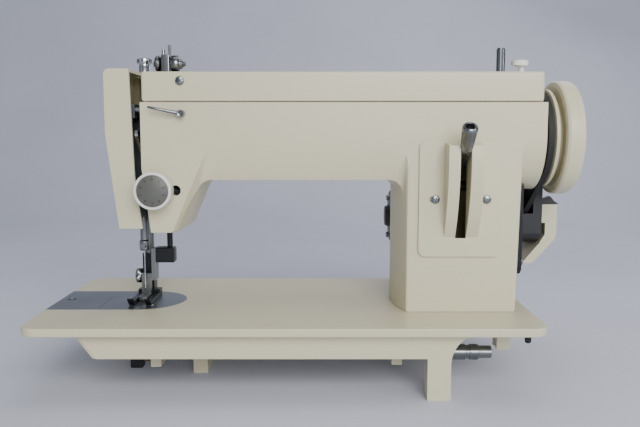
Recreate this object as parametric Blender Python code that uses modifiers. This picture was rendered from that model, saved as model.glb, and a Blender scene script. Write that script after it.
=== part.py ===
"""A portable walking-foot sewing machine head: bed, arm, needle and foot bars, feed, hook, wheel and motor.

+X runs towards the hand wheel, +Y away from the operator, +Z up. The origin is on the table, under the
middle of the machine. The main shaft and the needle lie in the plane Y = 0.
"""

import math

import bmesh
import bpy
from mathutils import Matrix, Vector

# Driving sizes, in metres.
BED_LENGTH = 0.3765
BED_WIDTH = 0.178
BED_HEIGHT = 0.056
BED_PLATE = 0.0063
WHEEL_OVERHANG = 0.0435
THROAT_HEIGHT = 0.101
ARM_DEPTH = 0.082
HEAD_DROP = 0.0395
PILLAR_WIDTH = 0.0873
SHAFT_RADIUS = 0.006
HOOK_SHAFT_RADIUS = 0.005
NEEDLE_BAR_RADIUS = 0.0031
PRESSER_BAR_RADIUS = 0.004
WALKING_BAR_RADIUS = 0.0023
WHEEL_RADIUS = 0.045
PULLEY_RADIUS = 0.0385
MOTOR_RADIUS = 0.029
MOTOR_PULLEY_RADIUS = 0.0125
HOOK_RADIUS = 0.0155
PLATE_RADIUS = 0.033
DIAL_RADIUS = 0.0138
KNOB_RADIUS = 0.006

# Clearances: between pieces that touch, and between a turning or sliding piece and its bearing.
GAP = 0.0003
RUN = 0.0004

# Places that follow from the driving sizes.
LEFT = -(BED_LENGTH + WHEEL_OVERHANG) / 2
RIGHT = LEFT + BED_LENGTH
WHEEL_END = RIGHT + WHEEL_OVERHANG
BED_UNDER = BED_HEIGHT - BED_PLATE
ARM_UNDER = BED_HEIGHT + THROAT_HEIGHT
ARM_TOP = ARM_UNDER + 0.0584
COVER_TOP = ARM_TOP + 0.0226
SHAFT_Z = ARM_UNDER + 0.0317
HEAD_BOTTOM = ARM_UNDER - HEAD_DROP
NEEDLE_X = LEFT + 0.0706
HEAD_LEFT = NEEDLE_X + 0.0094
HEAD_RIGHT = HEAD_LEFT + 0.0221
PILLAR_RIGHT = RIGHT - 0.0095
PILLAR_LEFT = PILLAR_RIGHT - PILLAR_WIDTH
PILLAR_BACK = 0.028
ARM_FRONT = -ARM_DEPTH / 2
WALL = 0.0065
PRESSER_Y = 0.0165
WALKING_X = NEEDLE_X + 0.0209
SKIRT_Y = BED_WIDTH / 2 - 0.010
SKIRT_BOTTOM = BED_HEIGHT - 0.025
HOOK_Z = BED_HEIGHT - 0.026
FEED_Y = -0.029
FEED_Z = BED_HEIGHT - 0.035
MOTOR_Y = PILLAR_BACK + MOTOR_RADIUS + 0.0025
MOTOR_Z = ARM_UNDER - 0.038
BOSS_END = PILLAR_RIGHT + 0.0167
WHEEL_LEFT = BOSS_END + 0.0008
BELT_X = WHEEL_LEFT + 0.004
BELT_WIDTH = 0.0046
LEVER_X = PILLAR_LEFT + 0.0403
LEVER_PIVOT = Vector((LEVER_X, 0.0, ARM_UNDER - 0.007))
ROCK_PIVOT = Vector((NEEDLE_X, ARM_FRONT + 0.011, SHAFT_Z + 0.0213))
TAKE_UP_PIVOT = Vector((HEAD_LEFT - 0.0037, 0.005, SHAFT_Z - 0.0337))
DIAL_X = NEEDLE_X + 0.0209
DIAL_Z = ARM_UNDER - 0.0067
HINGE_X = HEAD_LEFT - 0.0027
HINGE_Y = ARM_DEPTH / 2 + 0.0032

FACING = {
    "X": Matrix(((0, 0, 1), (1, 0, 0), (0, 1, 0))).to_4x4(),
    "Y": Matrix(((1, 0, 0), (0, 0, -1), (0, 1, 0))).to_4x4(),
    "Z": Matrix.Identity(4),
}

for old in list(bpy.data.objects):
    bpy.data.objects.remove(old, do_unlink=True)
machine = bpy.data.collections.new("sewing_machine")
cutters = bpy.data.collections.new("cutters")
bpy.context.scene.collection.children.link(machine)
bpy.context.scene.collection.children.link(cutters)


def finish(name, colour, roughness, metallic):
    material = bpy.data.materials.new(name)
    material.use_nodes = True
    shader = material.node_tree.nodes["Principled BSDF"]
    shader.inputs["Base Color"].default_value = (*colour, 1.0)
    shader.inputs["Roughness"].default_value = roughness
    shader.inputs["Metallic"].default_value = metallic
    return material


CREAM = finish("cream_enamel", (0.56, 0.53, 0.45), 0.4, 0.0)
STEEL = finish("ground_steel", (0.45, 0.47, 0.5), 0.35, 1.0)
CHROME = finish("chrome", (0.75, 0.76, 0.78), 0.12, 1.0)
PLATE = finish("plate_steel", (0.2, 0.23, 0.27), 0.35, 0.8)
BLACKED = finish("blacked_steel", (0.02, 0.022, 0.025), 0.4, 0.6)
GREY = finish("grey_casting", (0.12, 0.14, 0.15), 0.5, 0.5)
BRONZE = finish("bronze", (0.3, 0.19, 0.1), 0.4, 1.0)
BLACK_PLASTIC = finish("black_plastic", (0.015, 0.015, 0.018), 0.45, 0.0)
WHITE_PLASTIC = finish("white_plastic", (0.72, 0.74, 0.7), 0.35, 0.0)
BELT_RUBBER = finish("belt_rubber", (0.02, 0.02, 0.02), 0.75, 0.0)


def new_piece(name, mesh, material, place=None):
    """A piece of the machine, with its material, at its place."""
    piece = bpy.data.objects.new(name, mesh)
    machine.objects.link(piece)
    if place is not None:
        piece.matrix_world = place
    if material is not None and not mesh.materials:
        mesh.materials.append(material)
    return piece


def smooth(piece, angle=35.0):
    piece.data.shade_smooth()
    piece.data.set_sharp_from_angle(angle=math.radians(angle))
    return piece


def rounded(corners, steps=4):
    """An outline from corners (x, y, radius), each round corner given as a short arc."""
    points = []
    for i, (x, y, radius) in enumerate(corners):
        here = Vector((x, y))
        if radius <= 0:
            points.append(here)
            continue
        before = (Vector(corners[i - 1][:2]) - here).normalized()
        after = (Vector(corners[(i + 1) % len(corners)][:2]) - here).normalized()
        half = before.angle(after) / 2
        reach = radius / math.tan(half)
        centre = here + (before + after).normalized() * (radius / math.sin(half))
        first = here + before * reach - centre
        turn = math.pi - 2 * half
        side = math.copysign(1.0, before.y * after.x - before.x * after.y)
        for step in range(steps + 1):
            angle = side * turn * step / steps
            swung = Vector((
                first.x * math.cos(angle) - first.y * math.sin(angle),
                first.x * math.sin(angle) + first.y * math.cos(angle),
            ))
            points.append(centre + swung)
    return points


def arc(centre, radius, start, end, steps):
    """Points on an arc, from the start angle to the end angle in degrees."""
    points = []
    for step in range(steps + 1):
        angle = math.radians(start + (end - start) * step / steps)
        points.append(Vector((centre[0] + radius * math.cos(angle), centre[1] + radius * math.sin(angle))))
    return points


def as_mesh(shape, name, material):
    """The mesh of a curve object, with its caps welded, in place of the curve."""
    bpy.context.view_layer.update()
    seen = shape.evaluated_get(bpy.context.evaluated_depsgraph_get())
    mesh = bpy.data.meshes.new_from_object(seen)
    mesh.name = name
    welded = bmesh.new()
    welded.from_mesh(mesh)
    bmesh.ops.remove_doubles(welded, verts=welded.verts, dist=1e-6)
    bmesh.ops.recalc_face_normals(welded, faces=welded.faces)
    welded.to_mesh(mesh)
    welded.free()
    mesh.materials.clear()
    piece = new_piece(name, mesh, material, shape.matrix_world.copy())
    curve = shape.data
    bpy.data.objects.remove(shape, do_unlink=True)
    bpy.data.curves.remove(curve)
    return piece


def flat(name, outline, low, high, facing, material):
    """A flat outline between two heights along the axis it faces. Facing Y, heights grow to the front."""
    curve = bpy.data.curves.new(name + "_outline", "CURVE")
    curve.dimensions = "2D"
    curve.fill_mode = "BOTH"
    curve.extrude = (high - low) / 2
    line = curve.splines.new("POLY")
    line.points.add(len(outline) - 1)
    for point, place in zip(line.points, outline):
        point.co = (place[0], place[1], 0.0, 1.0)
    line.use_cyclic_u = True
    shape = bpy.data.objects.new(name + "_outline", curve)
    machine.objects.link(shape)
    shape.matrix_world = FACING[facing] @ Matrix.Translation((0, 0, (low + high) / 2))
    return as_mesh(shape, name, material)


def wire(name, points, radius, material):
    """A bent round wire through the points."""
    curve = bpy.data.curves.new(name + "_line", "CURVE")
    curve.dimensions = "3D"
    curve.bevel_depth = radius
    curve.bevel_resolution = 2
    curve.use_fill_caps = True
    line = curve.splines.new("POLY")
    line.points.add(len(points) - 1)
    for point, place in zip(line.points, points):
        point.co = (*place, 1.0)
    shape = bpy.data.objects.new(name + "_line", curve)
    machine.objects.link(shape)
    return smooth(as_mesh(shape, name, material), 60)


def box(name, low, high, material=None):
    """A block between two opposite corners."""
    mesh = bpy.data.meshes.new(name)
    block = bmesh.new()
    bmesh.ops.create_cube(block, size=1.0)
    size = Vector(high) - Vector(low)
    bmesh.ops.scale(block, vec=size, verts=block.verts)
    block.to_mesh(mesh)
    block.free()
    middle = (Vector(low) + Vector(high)) / 2
    return new_piece(name, mesh, material, Matrix.Translation(middle))


def rod(name, start, axis, length, radius, material=None, sides=20):
    """A round bar from start along an axis; along Y, it runs to the front."""
    mesh = bpy.data.meshes.new(name)
    bar = bmesh.new()
    bmesh.ops.create_cone(bar, cap_ends=True, segments=sides, radius1=radius, radius2=radius, depth=length)
    bmesh.ops.translate(bar, vec=(0, 0, length / 2), verts=bar.verts)
    bar.to_mesh(mesh)
    bar.free()
    return smooth(new_piece(name, mesh, material, Matrix.Translation(start) @ FACING[axis]))


def turned(name, profile, origin, axis, material, steps=28, closed=False):
    """A turned piece from its profile of (radius, height), outer side first and from the top down."""
    mesh = bpy.data.meshes.new(name)
    edges = [(i, i + 1) for i in range(len(profile) - 1)]
    if closed:
        edges.append((len(profile) - 1, 0))
    mesh.from_pydata([(radius, 0.0, height) for radius, height in profile], edges, [])
    turn = axis if isinstance(axis, Matrix) else FACING[axis]
    piece = new_piece(name, mesh, material, Matrix.Translation(origin) @ turn)
    screw = piece.modifiers.new("turn", "SCREW")
    screw.axis = "Z"
    screw.steps = steps
    screw.render_steps = steps
    screw.use_merge_vertices = True
    screw.merge_threshold = 0.00001
    screw.use_smooth_shade = True
    return piece


def ring(name, outer, bore, low, high, origin, axis, material, steps=24, chamfer=0.0004):
    """A turned collar or bush with a bore, its outer edges broken by a small chamfer."""
    profile = [
        (bore, high), (outer - chamfer, high), (outer, high - chamfer),
        (outer, low + chamfer), (outer - chamfer, low), (bore, low),
    ]
    return turned(name, profile, origin, axis, material, steps, closed=True)


def loft(name, sections, material):
    """A closed solid through matching sections, each a list of points in space."""
    mesh = bpy.data.meshes.new(name)
    skin = bmesh.new()
    rows = [[skin.verts.new(point) for point in section] for section in sections]
    count = len(rows[0])
    for row, following in zip(rows, rows[1:]):
        for i in range(count):
            j = (i + 1) % count
            skin.faces.new((row[i], row[j], following[j], following[i]))
    skin.faces.new(rows[0])
    skin.faces.new(rows[-1])
    bmesh.ops.recalc_face_normals(skin, faces=skin.faces)
    skin.to_mesh(mesh)
    skin.free()
    return new_piece(name, mesh, material)


def combine(piece, tool, operation):
    for home in list(tool.users_collection):
        home.objects.unlink(tool)
    cutters.objects.link(tool)
    tool.hide_render = True
    tool.display_type = "WIRE"
    step = piece.modifiers.new(tool.name, "BOOLEAN")
    step.operation = operation
    step.object = tool
    return piece


def cut(piece, *tools):
    for tool in tools:
        combine(piece, tool, "DIFFERENCE")
    return piece


def join(piece, *tools):
    for tool in tools:
        combine(piece, tool, "UNION")
    return piece


def soften(piece, width, segments=2, angle=40.0):
    """Rounds the sharp edges of a piece."""
    bevel = piece.modifiers.new("soften", "BEVEL")
    bevel.width = width
    bevel.segments = segments
    bevel.limit_method = "ANGLE"
    bevel.angle_limit = math.radians(angle)
    return piece


def hang(name, pivot, *pieces):
    """Parents the pieces of a moving body to an empty on its joint's axis."""
    joint = bpy.data.objects.new(name, None)
    joint.location = pivot
    joint.empty_display_size = 0.01
    machine.objects.link(joint)
    bpy.context.view_layer.update()
    for piece in pieces:
        piece.parent = joint
        piece.matrix_parent_inverse = joint.matrix_world.inverted()


# The bed: a flat casting with a skirt and legs below it.

FEED_SHAFT_RADIUS = 0.005
BED_CORNER = 0.012
SKIRT_WALL = 0.005
SKIRT_RIGHT = RIGHT - 0.068
PLATE_THICKNESS = 0.0022
RECESS_Z = BED_HEIGHT - PLATE_THICKNESS - GAP
PLATE_CENTRE = NEEDLE_X
SEAM_X = NEEDLE_X - 0.0301
LEG_WIDTH = 0.017
LEG_X = SKIRT_RIGHT - LEG_WIDTH
LEG_THICKNESS = 0.014
LEG_FILLET = 0.0225
LEFT_LEG_X = NEEDLE_X + 0.0414
LEFT_LEG_WIDTH = 0.0115
LUG_X = RIGHT - 0.0249


def skirt_section(z, inset):
    slant = (BED_UNDER - z) * 0.75
    left = LEFT + 0.034 + slant + inset
    right = SKIRT_RIGHT - inset
    side = SKIRT_Y - inset
    corners = [(left, -side, 0.006), (right, -side, 0.006), (right, side, 0.006), (left, side, 0.006)]
    return [(x, y, z) for x, y in rounded(corners, 2)]


def stadium(radius, left_end, right_centre):
    """The plates' outline: square at the bed's left end and round on the right."""
    round_end = arc((right_centre, 0.0), radius, -90, 90, 14)
    return [Vector((left_end, -radius))] + round_end + [Vector((left_end, radius))]


def make_leg(name, low_y, high_y):
    right = LEG_X + LEG_WIDTH
    fillet = arc((right + LEG_FILLET, BED_UNDER - LEG_FILLET), LEG_FILLET, 180, 90, 10)
    outline = [Vector((LEG_X, 0.0)), Vector((right, 0.0))] + fillet
    outline += [Vector((right + LEG_FILLET, BED_UNDER + 0.001)), Vector((LEG_X, BED_UNDER + 0.001))]
    return flat(name, outline, -high_y, -low_y, "Y", None)


def make_bed():
    half = BED_WIDTH / 2
    corners = [(LEFT, -half, BED_CORNER), (RIGHT, -half, BED_CORNER), (RIGHT, half, BED_CORNER)]
    corners.append((LEFT, half, BED_CORNER))
    bed = flat("bed_casting", rounded(corners, 4), BED_UNDER, BED_HEIGHT, "Z", CREAM)
    soften(bed, 0.0012, 2, 50)
    recess = stadium(PLATE_RADIUS + GAP, LEFT - 0.01, PLATE_CENTRE)
    well = stadium(PLATE_RADIUS - 0.006, LEFT + 0.044, PLATE_CENTRE)
    cut(bed, flat("recess", recess, RECESS_Z, BED_HEIGHT + 0.01, "Z", None))
    skirt = loft("skirt", [skirt_section(SKIRT_BOTTOM, 0.0), skirt_section(BED_UNDER + 0.001, 0.0)], None)
    hollow = [skirt_section(SKIRT_BOTTOM - 0.002, SKIRT_WALL), skirt_section(BED_UNDER, SKIRT_WALL)]
    join(bed, skirt)
    cut(bed, loft("skirt_hollow", hollow, None))
    cut(bed, flat("well", well, BED_UNDER - 0.01, BED_HEIGHT + 0.01, "Z", None))
    join(bed, make_leg("front_leg", -SKIRT_Y, -SKIRT_Y + LEG_THICKNESS))
    join(bed, make_leg("rear_leg", SKIRT_Y - LEG_THICKNESS, SKIRT_Y))
    under = BED_UNDER + 0.001
    left_leg = box("left_leg", (LEFT_LEG_X, -0.018, 0.0), (LEFT_LEG_X + LEFT_LEG_WIDTH, 0.018, under))
    lug = box("lug", (LUG_X, FEED_Y - 0.007, FEED_Z + 0.004), (LUG_X + 0.0104, FEED_Y + 0.007, under))
    right_rib = box("right_rib", (LEG_X - 0.022, -0.040, 0.014), (LEG_X - 0.014, 0.012, under))
    feed_rib = box("feed_rib", (NEEDLE_X + 0.012, -0.039, 0.012), (NEEDLE_X + 0.020, -0.020, under))
    join(bed, left_leg, lug, right_rib, feed_rib)
    hook_start = (LEFT_LEG_X - 0.01, 0, HOOK_Z)
    length = LEG_X - LEFT_LEG_X + 0.01
    hook_bore = rod("hook_bore", hook_start, "X", length, HOOK_SHAFT_RADIUS + RUN, None, 24)
    feed_start = (NEEDLE_X, FEED_Y, FEED_Z)
    length = LUG_X - NEEDLE_X + 0.02
    feed_bore = rod("feed_bore", feed_start, "X", length, FEED_SHAFT_RADIUS + RUN, None, 24)
    cut(bed, hook_bore, feed_bore)
    return bed


DOG_HALF_WIDTH = 0.0041
DOG_HALF_LENGTH = 0.009
FEED_TRAVEL = 0.003
NEEDLE_HOLE = 0.0016


def make_plates():
    top = BED_HEIGHT - 0.00005
    low = top - PLATE_THICKNESS
    needle_plate = flat("needle_plate", stadium(PLATE_RADIUS, SEAM_X, PLATE_CENTRE), low, top, "Z", PLATE)
    side = DOG_HALF_WIDTH + 0.0012
    ahead = DOG_HALF_LENGTH + FEED_TRAVEL + 0.0012
    slot = box("dog_slot", (NEEDLE_X - side, -ahead, low - 0.01), (NEEDLE_X + side, ahead, top + 0.01))
    cut(needle_plate, slot)
    screw_place = Vector((NEEDLE_X + 0.010, -0.019, 0))
    cut(needle_plate, rod("screw_hole", screw_place + Vector((0, 0, low - 0.01)), "Z", 0.02, 0.0024 + GAP))
    rod("plate_screw", screw_place + Vector((0, 0, RECESS_Z - 0.004)), "Z", 0.0059, 0.0024, CHROME, 16)
    cut(bpy.data.objects["bed_casting"],
        rod("plate_thread", screw_place + Vector((0, 0, RECESS_Z - 0.006)), "Z", 0.02, 0.0024 + GAP))
    end = SEAM_X - GAP
    half = PLATE_RADIUS
    corners = [Vector((LEFT, -half)), Vector((end, -half)), Vector((end, half)), Vector((LEFT, half))]
    slide = flat("slide_plate", corners, low, top, "Z", PLATE)
    cut(slide, rod("finger_notch", (LEFT + 0.009, 0.002, low - 0.01), "Z", 0.03, 0.0035, None, 16))
    hang("slide_plate_joint", (LEFT, 0, top), slide)


# The arm: pillar, arm, head and right boss in one hollow casting.

BEVEL_RISE = 0.0245
BEVEL_DEPTH = 0.009
HEAD_SLOPE = 0.428
HEAD_BEVEL = 0.0045
PILLAR_BULGE = 0.0076
CRANK_X = HEAD_LEFT + 0.007
LIFTER_X = WALKING_X
LIFTER_Z = HEAD_BOTTOM + 0.0245
LIFTER_RADIUS = 0.003
LIFTER_HUB = 0.0042
PRESSER_LIFT = 0.008
GUIDE_BACK = PRESSER_Y + 0.0125
STITCH_SCREW_SPREAD = 0.0193
STITCH_SCREW_Z = LEVER_PIVOT.z - 0.007
STITCH_SCREW_RADIUS = 0.0016


def pillar_side(y):
    """The pillar's left side in plan, which swells towards the middle."""
    return PILLAR_LEFT - PILLAR_BULGE + PILLAR_BULGE * ((y - 0.004) / (ARM_DEPTH / 2 + 0.004)) ** 2


def arm_section(y, inset, left, drop):
    """The arm and head's outline at one depth. The lower edge steps up where the face is bevelled."""
    bevelled = abs(y) > ARM_DEPTH / 2 - BEVEL_DEPTH + 0.001
    low = ARM_UNDER + (BEVEL_RISE if bevelled else 0.0) + inset
    shift = (0.0 if bevelled else HEAD_BEVEL) - inset
    bottom = HEAD_BOTTOM + inset
    top = ARM_TOP + inset * 3
    right = PILLAR_RIGHT - inset
    at_bottom = HEAD_RIGHT + shift + (bottom - HEAD_BOTTOM) * HEAD_SLOPE
    at_low = HEAD_RIGHT + shift + (low - HEAD_BOTTOM) * HEAD_SLOPE
    side = pillar_side(min(y, PILLAR_BACK)) + inset
    corners = [
        (left, top, 0), (left, ARM_UNDER + 0.009, 0), (left + (0.006 if inset == 0 else 0), bottom, 0),
        (at_bottom, bottom, 0.002), (at_low, low, 0.011),
        (side, low, drop * 0.8), (side + 0.0001, low - drop, 0), (right - 0.004, low - drop, 0),
        (right, low, 0), (right, top, 0),
    ]
    return [(x, y, z) for x, z in rounded(corners, 3)]


def pillar_section(z, inset, right):
    front = ARM_FRONT + inset
    back = PILLAR_BACK - inset
    stations = [front + (back - front) * i / 5 for i in range(6)]
    left_side = [(pillar_side(y) + inset, y, 0.003 if i == 0 else 0.0) for i, y in enumerate(stations)]
    corners = left_side + [(right - inset, back, 0.003), (right - inset, front, 0.003)]
    return [(x, y, z) for x, y in rounded(corners, 2)]


def make_arm():
    half = ARM_DEPTH / 2
    inner = half - BEVEL_DEPTH
    drop = 0.012
    stations = [(-half, drop), (-inner, drop), (0.0, drop), (PILLAR_BACK - 0.0005, drop)]
    stations += [(PILLAR_BACK + 0.0005, 0.0002), (inner, 0.0002), (half, 0.0002)]
    arm = loft("arm_casting", [arm_section(y, 0.0, HEAD_LEFT, d) for y, d in stations], CREAM)
    base = BED_HEIGHT + GAP
    draft = PILLAR_RIGHT - 0.0027
    pillar = [pillar_section(base, 0, draft), pillar_section(ARM_UNDER + 0.030, 0, PILLAR_RIGHT)]
    join(arm, loft("pillar", pillar, None))
    boss_arc = arc((0.0, SHAFT_Z), half, 180, 360, 18)
    boss = [Vector((half, ARM_TOP)), Vector((-half, ARM_TOP))] + boss_arc
    join(arm, flat("boss", boss, PILLAR_RIGHT - 0.003, BOSS_END, "X", None))
    hollow_half = half - WALL
    hollow_inner = inner - 0.005
    beyond = HEAD_LEFT - 0.02
    hollow = []
    for y in (-hollow_half, -hollow_inner, hollow_inner, hollow_half):
        bevelled = abs(y) == hollow_half
        section_y = math.copysign(half if bevelled else inner, y)
        hollow.append([(x, y, z) for x, _, z in arm_section(section_y, WALL, beyond, 0.0002)])
    cut(arm, loft("arm_hollow", hollow, None))
    inside = [pillar_section(base - 0.01, WALL, draft), pillar_section(ARM_UNDER + 0.012, WALL, PILLAR_RIGHT)]
    cut(arm, loft("pillar_hollow", inside, None))
    add_bearings(arm)
    return arm


def add_bearings(arm):
    """Webs and lugs inside the casting, then the bores through them."""
    half = ARM_DEPTH / 2
    web_x = HEAD_LEFT + 0.030
    low = ARM_UNDER + 0.002
    web = box("shaft_web", (web_x, -half + 0.004, low + BEVEL_RISE),
              (web_x + 0.008, half - 0.004, ARM_TOP - 0.006))
    lug_left = NEEDLE_X - 0.0058
    lug_right = NEEDLE_X + 0.0190
    upper_low = SHAFT_Z + 0.0183
    lower_low = HEAD_BOTTOM + 0.0085
    front = PRESSER_Y - PRESSER_BAR_RADIUS - 0.0021
    back = half - 0.005
    upper = box("upper_lug", (lug_left, front, upper_low), (lug_right, back, upper_low + 0.007))
    lower = box("lower_lug", (lug_left, front, lower_low), (lug_right, back, lower_low + 0.012))
    stud_z = TAKE_UP_PIVOT.z
    stud_lug = box("take_up_lug", (HEAD_LEFT + 0.0006, -back, stud_z - 0.0055),
                   (HEAD_LEFT + 0.008, TAKE_UP_PIVOT.y + 0.0055, stud_z + 0.0055))
    rock = ROCK_PIVOT
    rock_lug = box("rock_lug", (HEAD_LEFT + 0.0002, -half + 0.005, rock.z - 0.006),
                   (HEAD_LEFT + 0.008, rock.y + 0.005, ARM_TOP))
    stud_left = TAKE_UP_PIVOT.x - 0.0016
    stud_length = HEAD_LEFT + 0.005 - stud_left
    stud = rod("take_up_stud", (stud_left, TAKE_UP_PIVOT.y, stud_z), "X", stud_length, 0.0025)
    join(arm, web, upper, lower, stud_lug, stud, rock_lug)
    bore = SHAFT_RADIUS + RUN
    cut(arm, rod("shaft_bore", (web_x - 0.01, 0, SHAFT_Z), "X", BOSS_END - web_x + 0.02, bore, None, 28))
    bar_bore = PRESSER_BAR_RADIUS + RUN
    cut(arm, rod("presser_bore", (NEEDLE_X, PRESSER_Y, HEAD_BOTTOM - 0.01), "Z", 0.15, bar_bore, None, 24))
    cut(arm, rod("rock_hole", (HEAD_LEFT - 0.01, rock.y, rock.z), "X", 0.016, 0.0025 + GAP))
    cut(arm, rod("dial_hole", (DIAL_X, -half + 0.02, DIAL_Z), "Y", 0.03, 0.0025 + GAP))
    cut(arm, rod("spring_hole", (DIAL_X + 0.0137, -half + 0.02, DIAL_Z - 0.0008), "Y", 0.03, 0.004))
    cut(arm, rod("lifter_hole", (LIFTER_X, half + 0.01, LIFTER_Z), "Y", 0.03, LIFTER_RADIUS + RUN))
    slot_right = WALKING_X + 0.005
    cut(arm, box("walking_slot", (HEAD_LEFT - 0.01, -0.0095, HEAD_BOTTOM - 0.01),
                 (slot_right, 0.0095, HEAD_BOTTOM + 0.0075)))
    cut(arm, box("lever_opening", (LEVER_X - 0.006, -half - 0.01, LEVER_PIVOT.z - 0.040),
                 (LEVER_X + 0.006, -half + 0.015, LEVER_PIVOT.z + 0.033)))
    for side in (-1, 1):
        place = (LEVER_X + side * STITCH_SCREW_SPREAD, -half + 0.005, STITCH_SCREW_Z)
        cut(arm, rod("stitch_thread", place, "Y", 0.01, STITCH_SCREW_RADIUS + GAP, None, 16))


# The top cover and the pieces that stand on it.

SPINDLE_RADIUS = 0.00345
STOP_STEM = 0.0022
TYRE_RADIUS = 0.0095
COVER_WALL = 0.003
SPINDLE_X = PILLAR_RIGHT - 0.0095
STOP_X = SPINDLE_X + 0.0165
TENSION_X = HEAD_LEFT + 0.0158
TENSION_Z = COVER_TOP + 0.009
COVER_SCREW_X = NEEDLE_X + 0.0394
COVER_SCREW_Z = COVER_TOP - 0.007


def make_top_cover():
    half = ARM_DEPTH / 2
    low = ARM_TOP + GAP
    left = HEAD_LEFT + 0.001
    right = BOSS_END - 0.0027
    cover = box("top_cover", (left, -half, low), (right, half, COVER_TOP), CREAM)
    soften(cover, 0.0022, 3)
    inset = COVER_WALL
    cut(cover, box("cover_hollow", (left + inset, -half + inset, low - 0.01),
                   (right - inset, half - inset, COVER_TOP - inset)))
    for name, x, radius in (("spindle_hole", SPINDLE_X, SPINDLE_RADIUS), ("stop_hole", STOP_X, STOP_STEM)):
        cut(cover, rod(name, (x, 0, COVER_TOP - 0.01), "Z", 0.02, radius + RUN))
    screw_start = (COVER_SCREW_X, -half + 0.006, COVER_SCREW_Z)
    cut(cover, rod("cover_screw_hole", screw_start, "Y", 0.02, 0.0018 + GAP))
    screw_profile = [(0, 0.0014), (0.0026, 0.0012), (0.0034, 0), (0.0018, 0), (0.0018, -0.006), (0, -0.006)]
    turned("top_cover_screw", screw_profile, (COVER_SCREW_X, -half - GAP, COVER_SCREW_Z), "Y", CHROME, 16)
    return cover


def make_winder():
    tip = COVER_TOP + 0.0216
    low = ARM_TOP + 0.004
    tyre = [(SPINDLE_RADIUS - 0.0005, tip - 0.0003), (SPINDLE_RADIUS, tip - 0.001)]
    tyre = [(0, tip)] + tyre
    tyre += [(SPINDLE_RADIUS, low + 0.007), (TYRE_RADIUS - 0.0005, low + 0.007), (TYRE_RADIUS, low + 0.0062)]
    tyre += [(TYRE_RADIUS, low + 0.0008), (TYRE_RADIUS - 0.0005, low), (0, low)]
    spindle = turned("winder_spindle", tyre, (SPINDLE_X, 0, 0), "Z", CHROME, 20)
    hang("winder_spindle_joint", (SPINDLE_X, 0, COVER_TOP), spindle)
    foot = COVER_TOP + 0.0070
    profile = [(0, foot + 0.0052), (0.0045, foot + 0.005), (0.0056, foot + 0.004), (0.0056, foot + 0.001)]
    profile += [(0.0048, foot), (STOP_STEM, foot), (STOP_STEM, COVER_TOP - 0.006), (0, COVER_TOP - 0.006)]
    stop = turned("winder_stop", profile, (STOP_X, 0, 0), "Z", WHITE_PLASTIC, 24)
    ear = rounded([(STOP_X - 0.0078, -0.0045, 0.004), (STOP_X + 0.001, -0.0055, 0.001),
                   (STOP_X + 0.001, 0.0055, 0.001), (STOP_X - 0.0078, 0.0045, 0.004)], 3)
    join(stop, flat("stop_ear", ear, foot + 0.001, foot + 0.0044, "Z", None))
    hang("winder_stop_joint", (STOP_X, 0, foot), stop)


def make_pretension():
    """The small thread tension on the cover: a post with a stud, discs on its left and a nut on its right."""
    low = COVER_TOP + GAP
    x = TENSION_X
    post = box("pretension_post", (x - 0.0070, -0.006, low), (x - 0.0005, 0.006, COVER_TOP + 0.0160), CHROME)
    soften(post, 0.0008, 2)
    stud_start = (x - 0.0140, 0, TENSION_Z)
    fin = box("fin", (x - 0.0016, -0.004, COVER_TOP + 0.012), (x - 0.0006, 0.004, COVER_TOP + 0.0238))
    base = box("base", (x - 0.0120, -0.0075, low), (x + 0.0090, 0.0075, COVER_TOP + 0.0018))
    ball = rod("ball_stem", (x - 0.0060, 0, COVER_TOP + 0.010), "Z", 0.0105, 0.0012, None, 12)
    join(post, rod("stud", stud_start, "X", 0.0255, 0.0018, None, 16), fin, base, ball)
    ring("pretension_discs", 0.0072, 0.0018 + RUN, -0.0060, -0.0003, (x - 0.0070, 0, TENSION_Z), "X", CHROME)
    place = (x + GAP, 0, TENSION_Z)
    nut = ring("pretension_nut", 0.0068, 0.0018 + RUN, 0.0, 0.0090, place, "X", CHROME, 24, 0.0008)
    hang("pretension_nut_joint", (x, 0, TENSION_Z), nut)


# The face cover, hinged at the rear of the head.

FACE_LEFT = NEEDLE_X - 0.0171
FACE_TOP = COVER_TOP + 0.002
FACE_BOTTOM = HEAD_BOTTOM + 0.003
FACE_WALL = 0.0024


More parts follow.
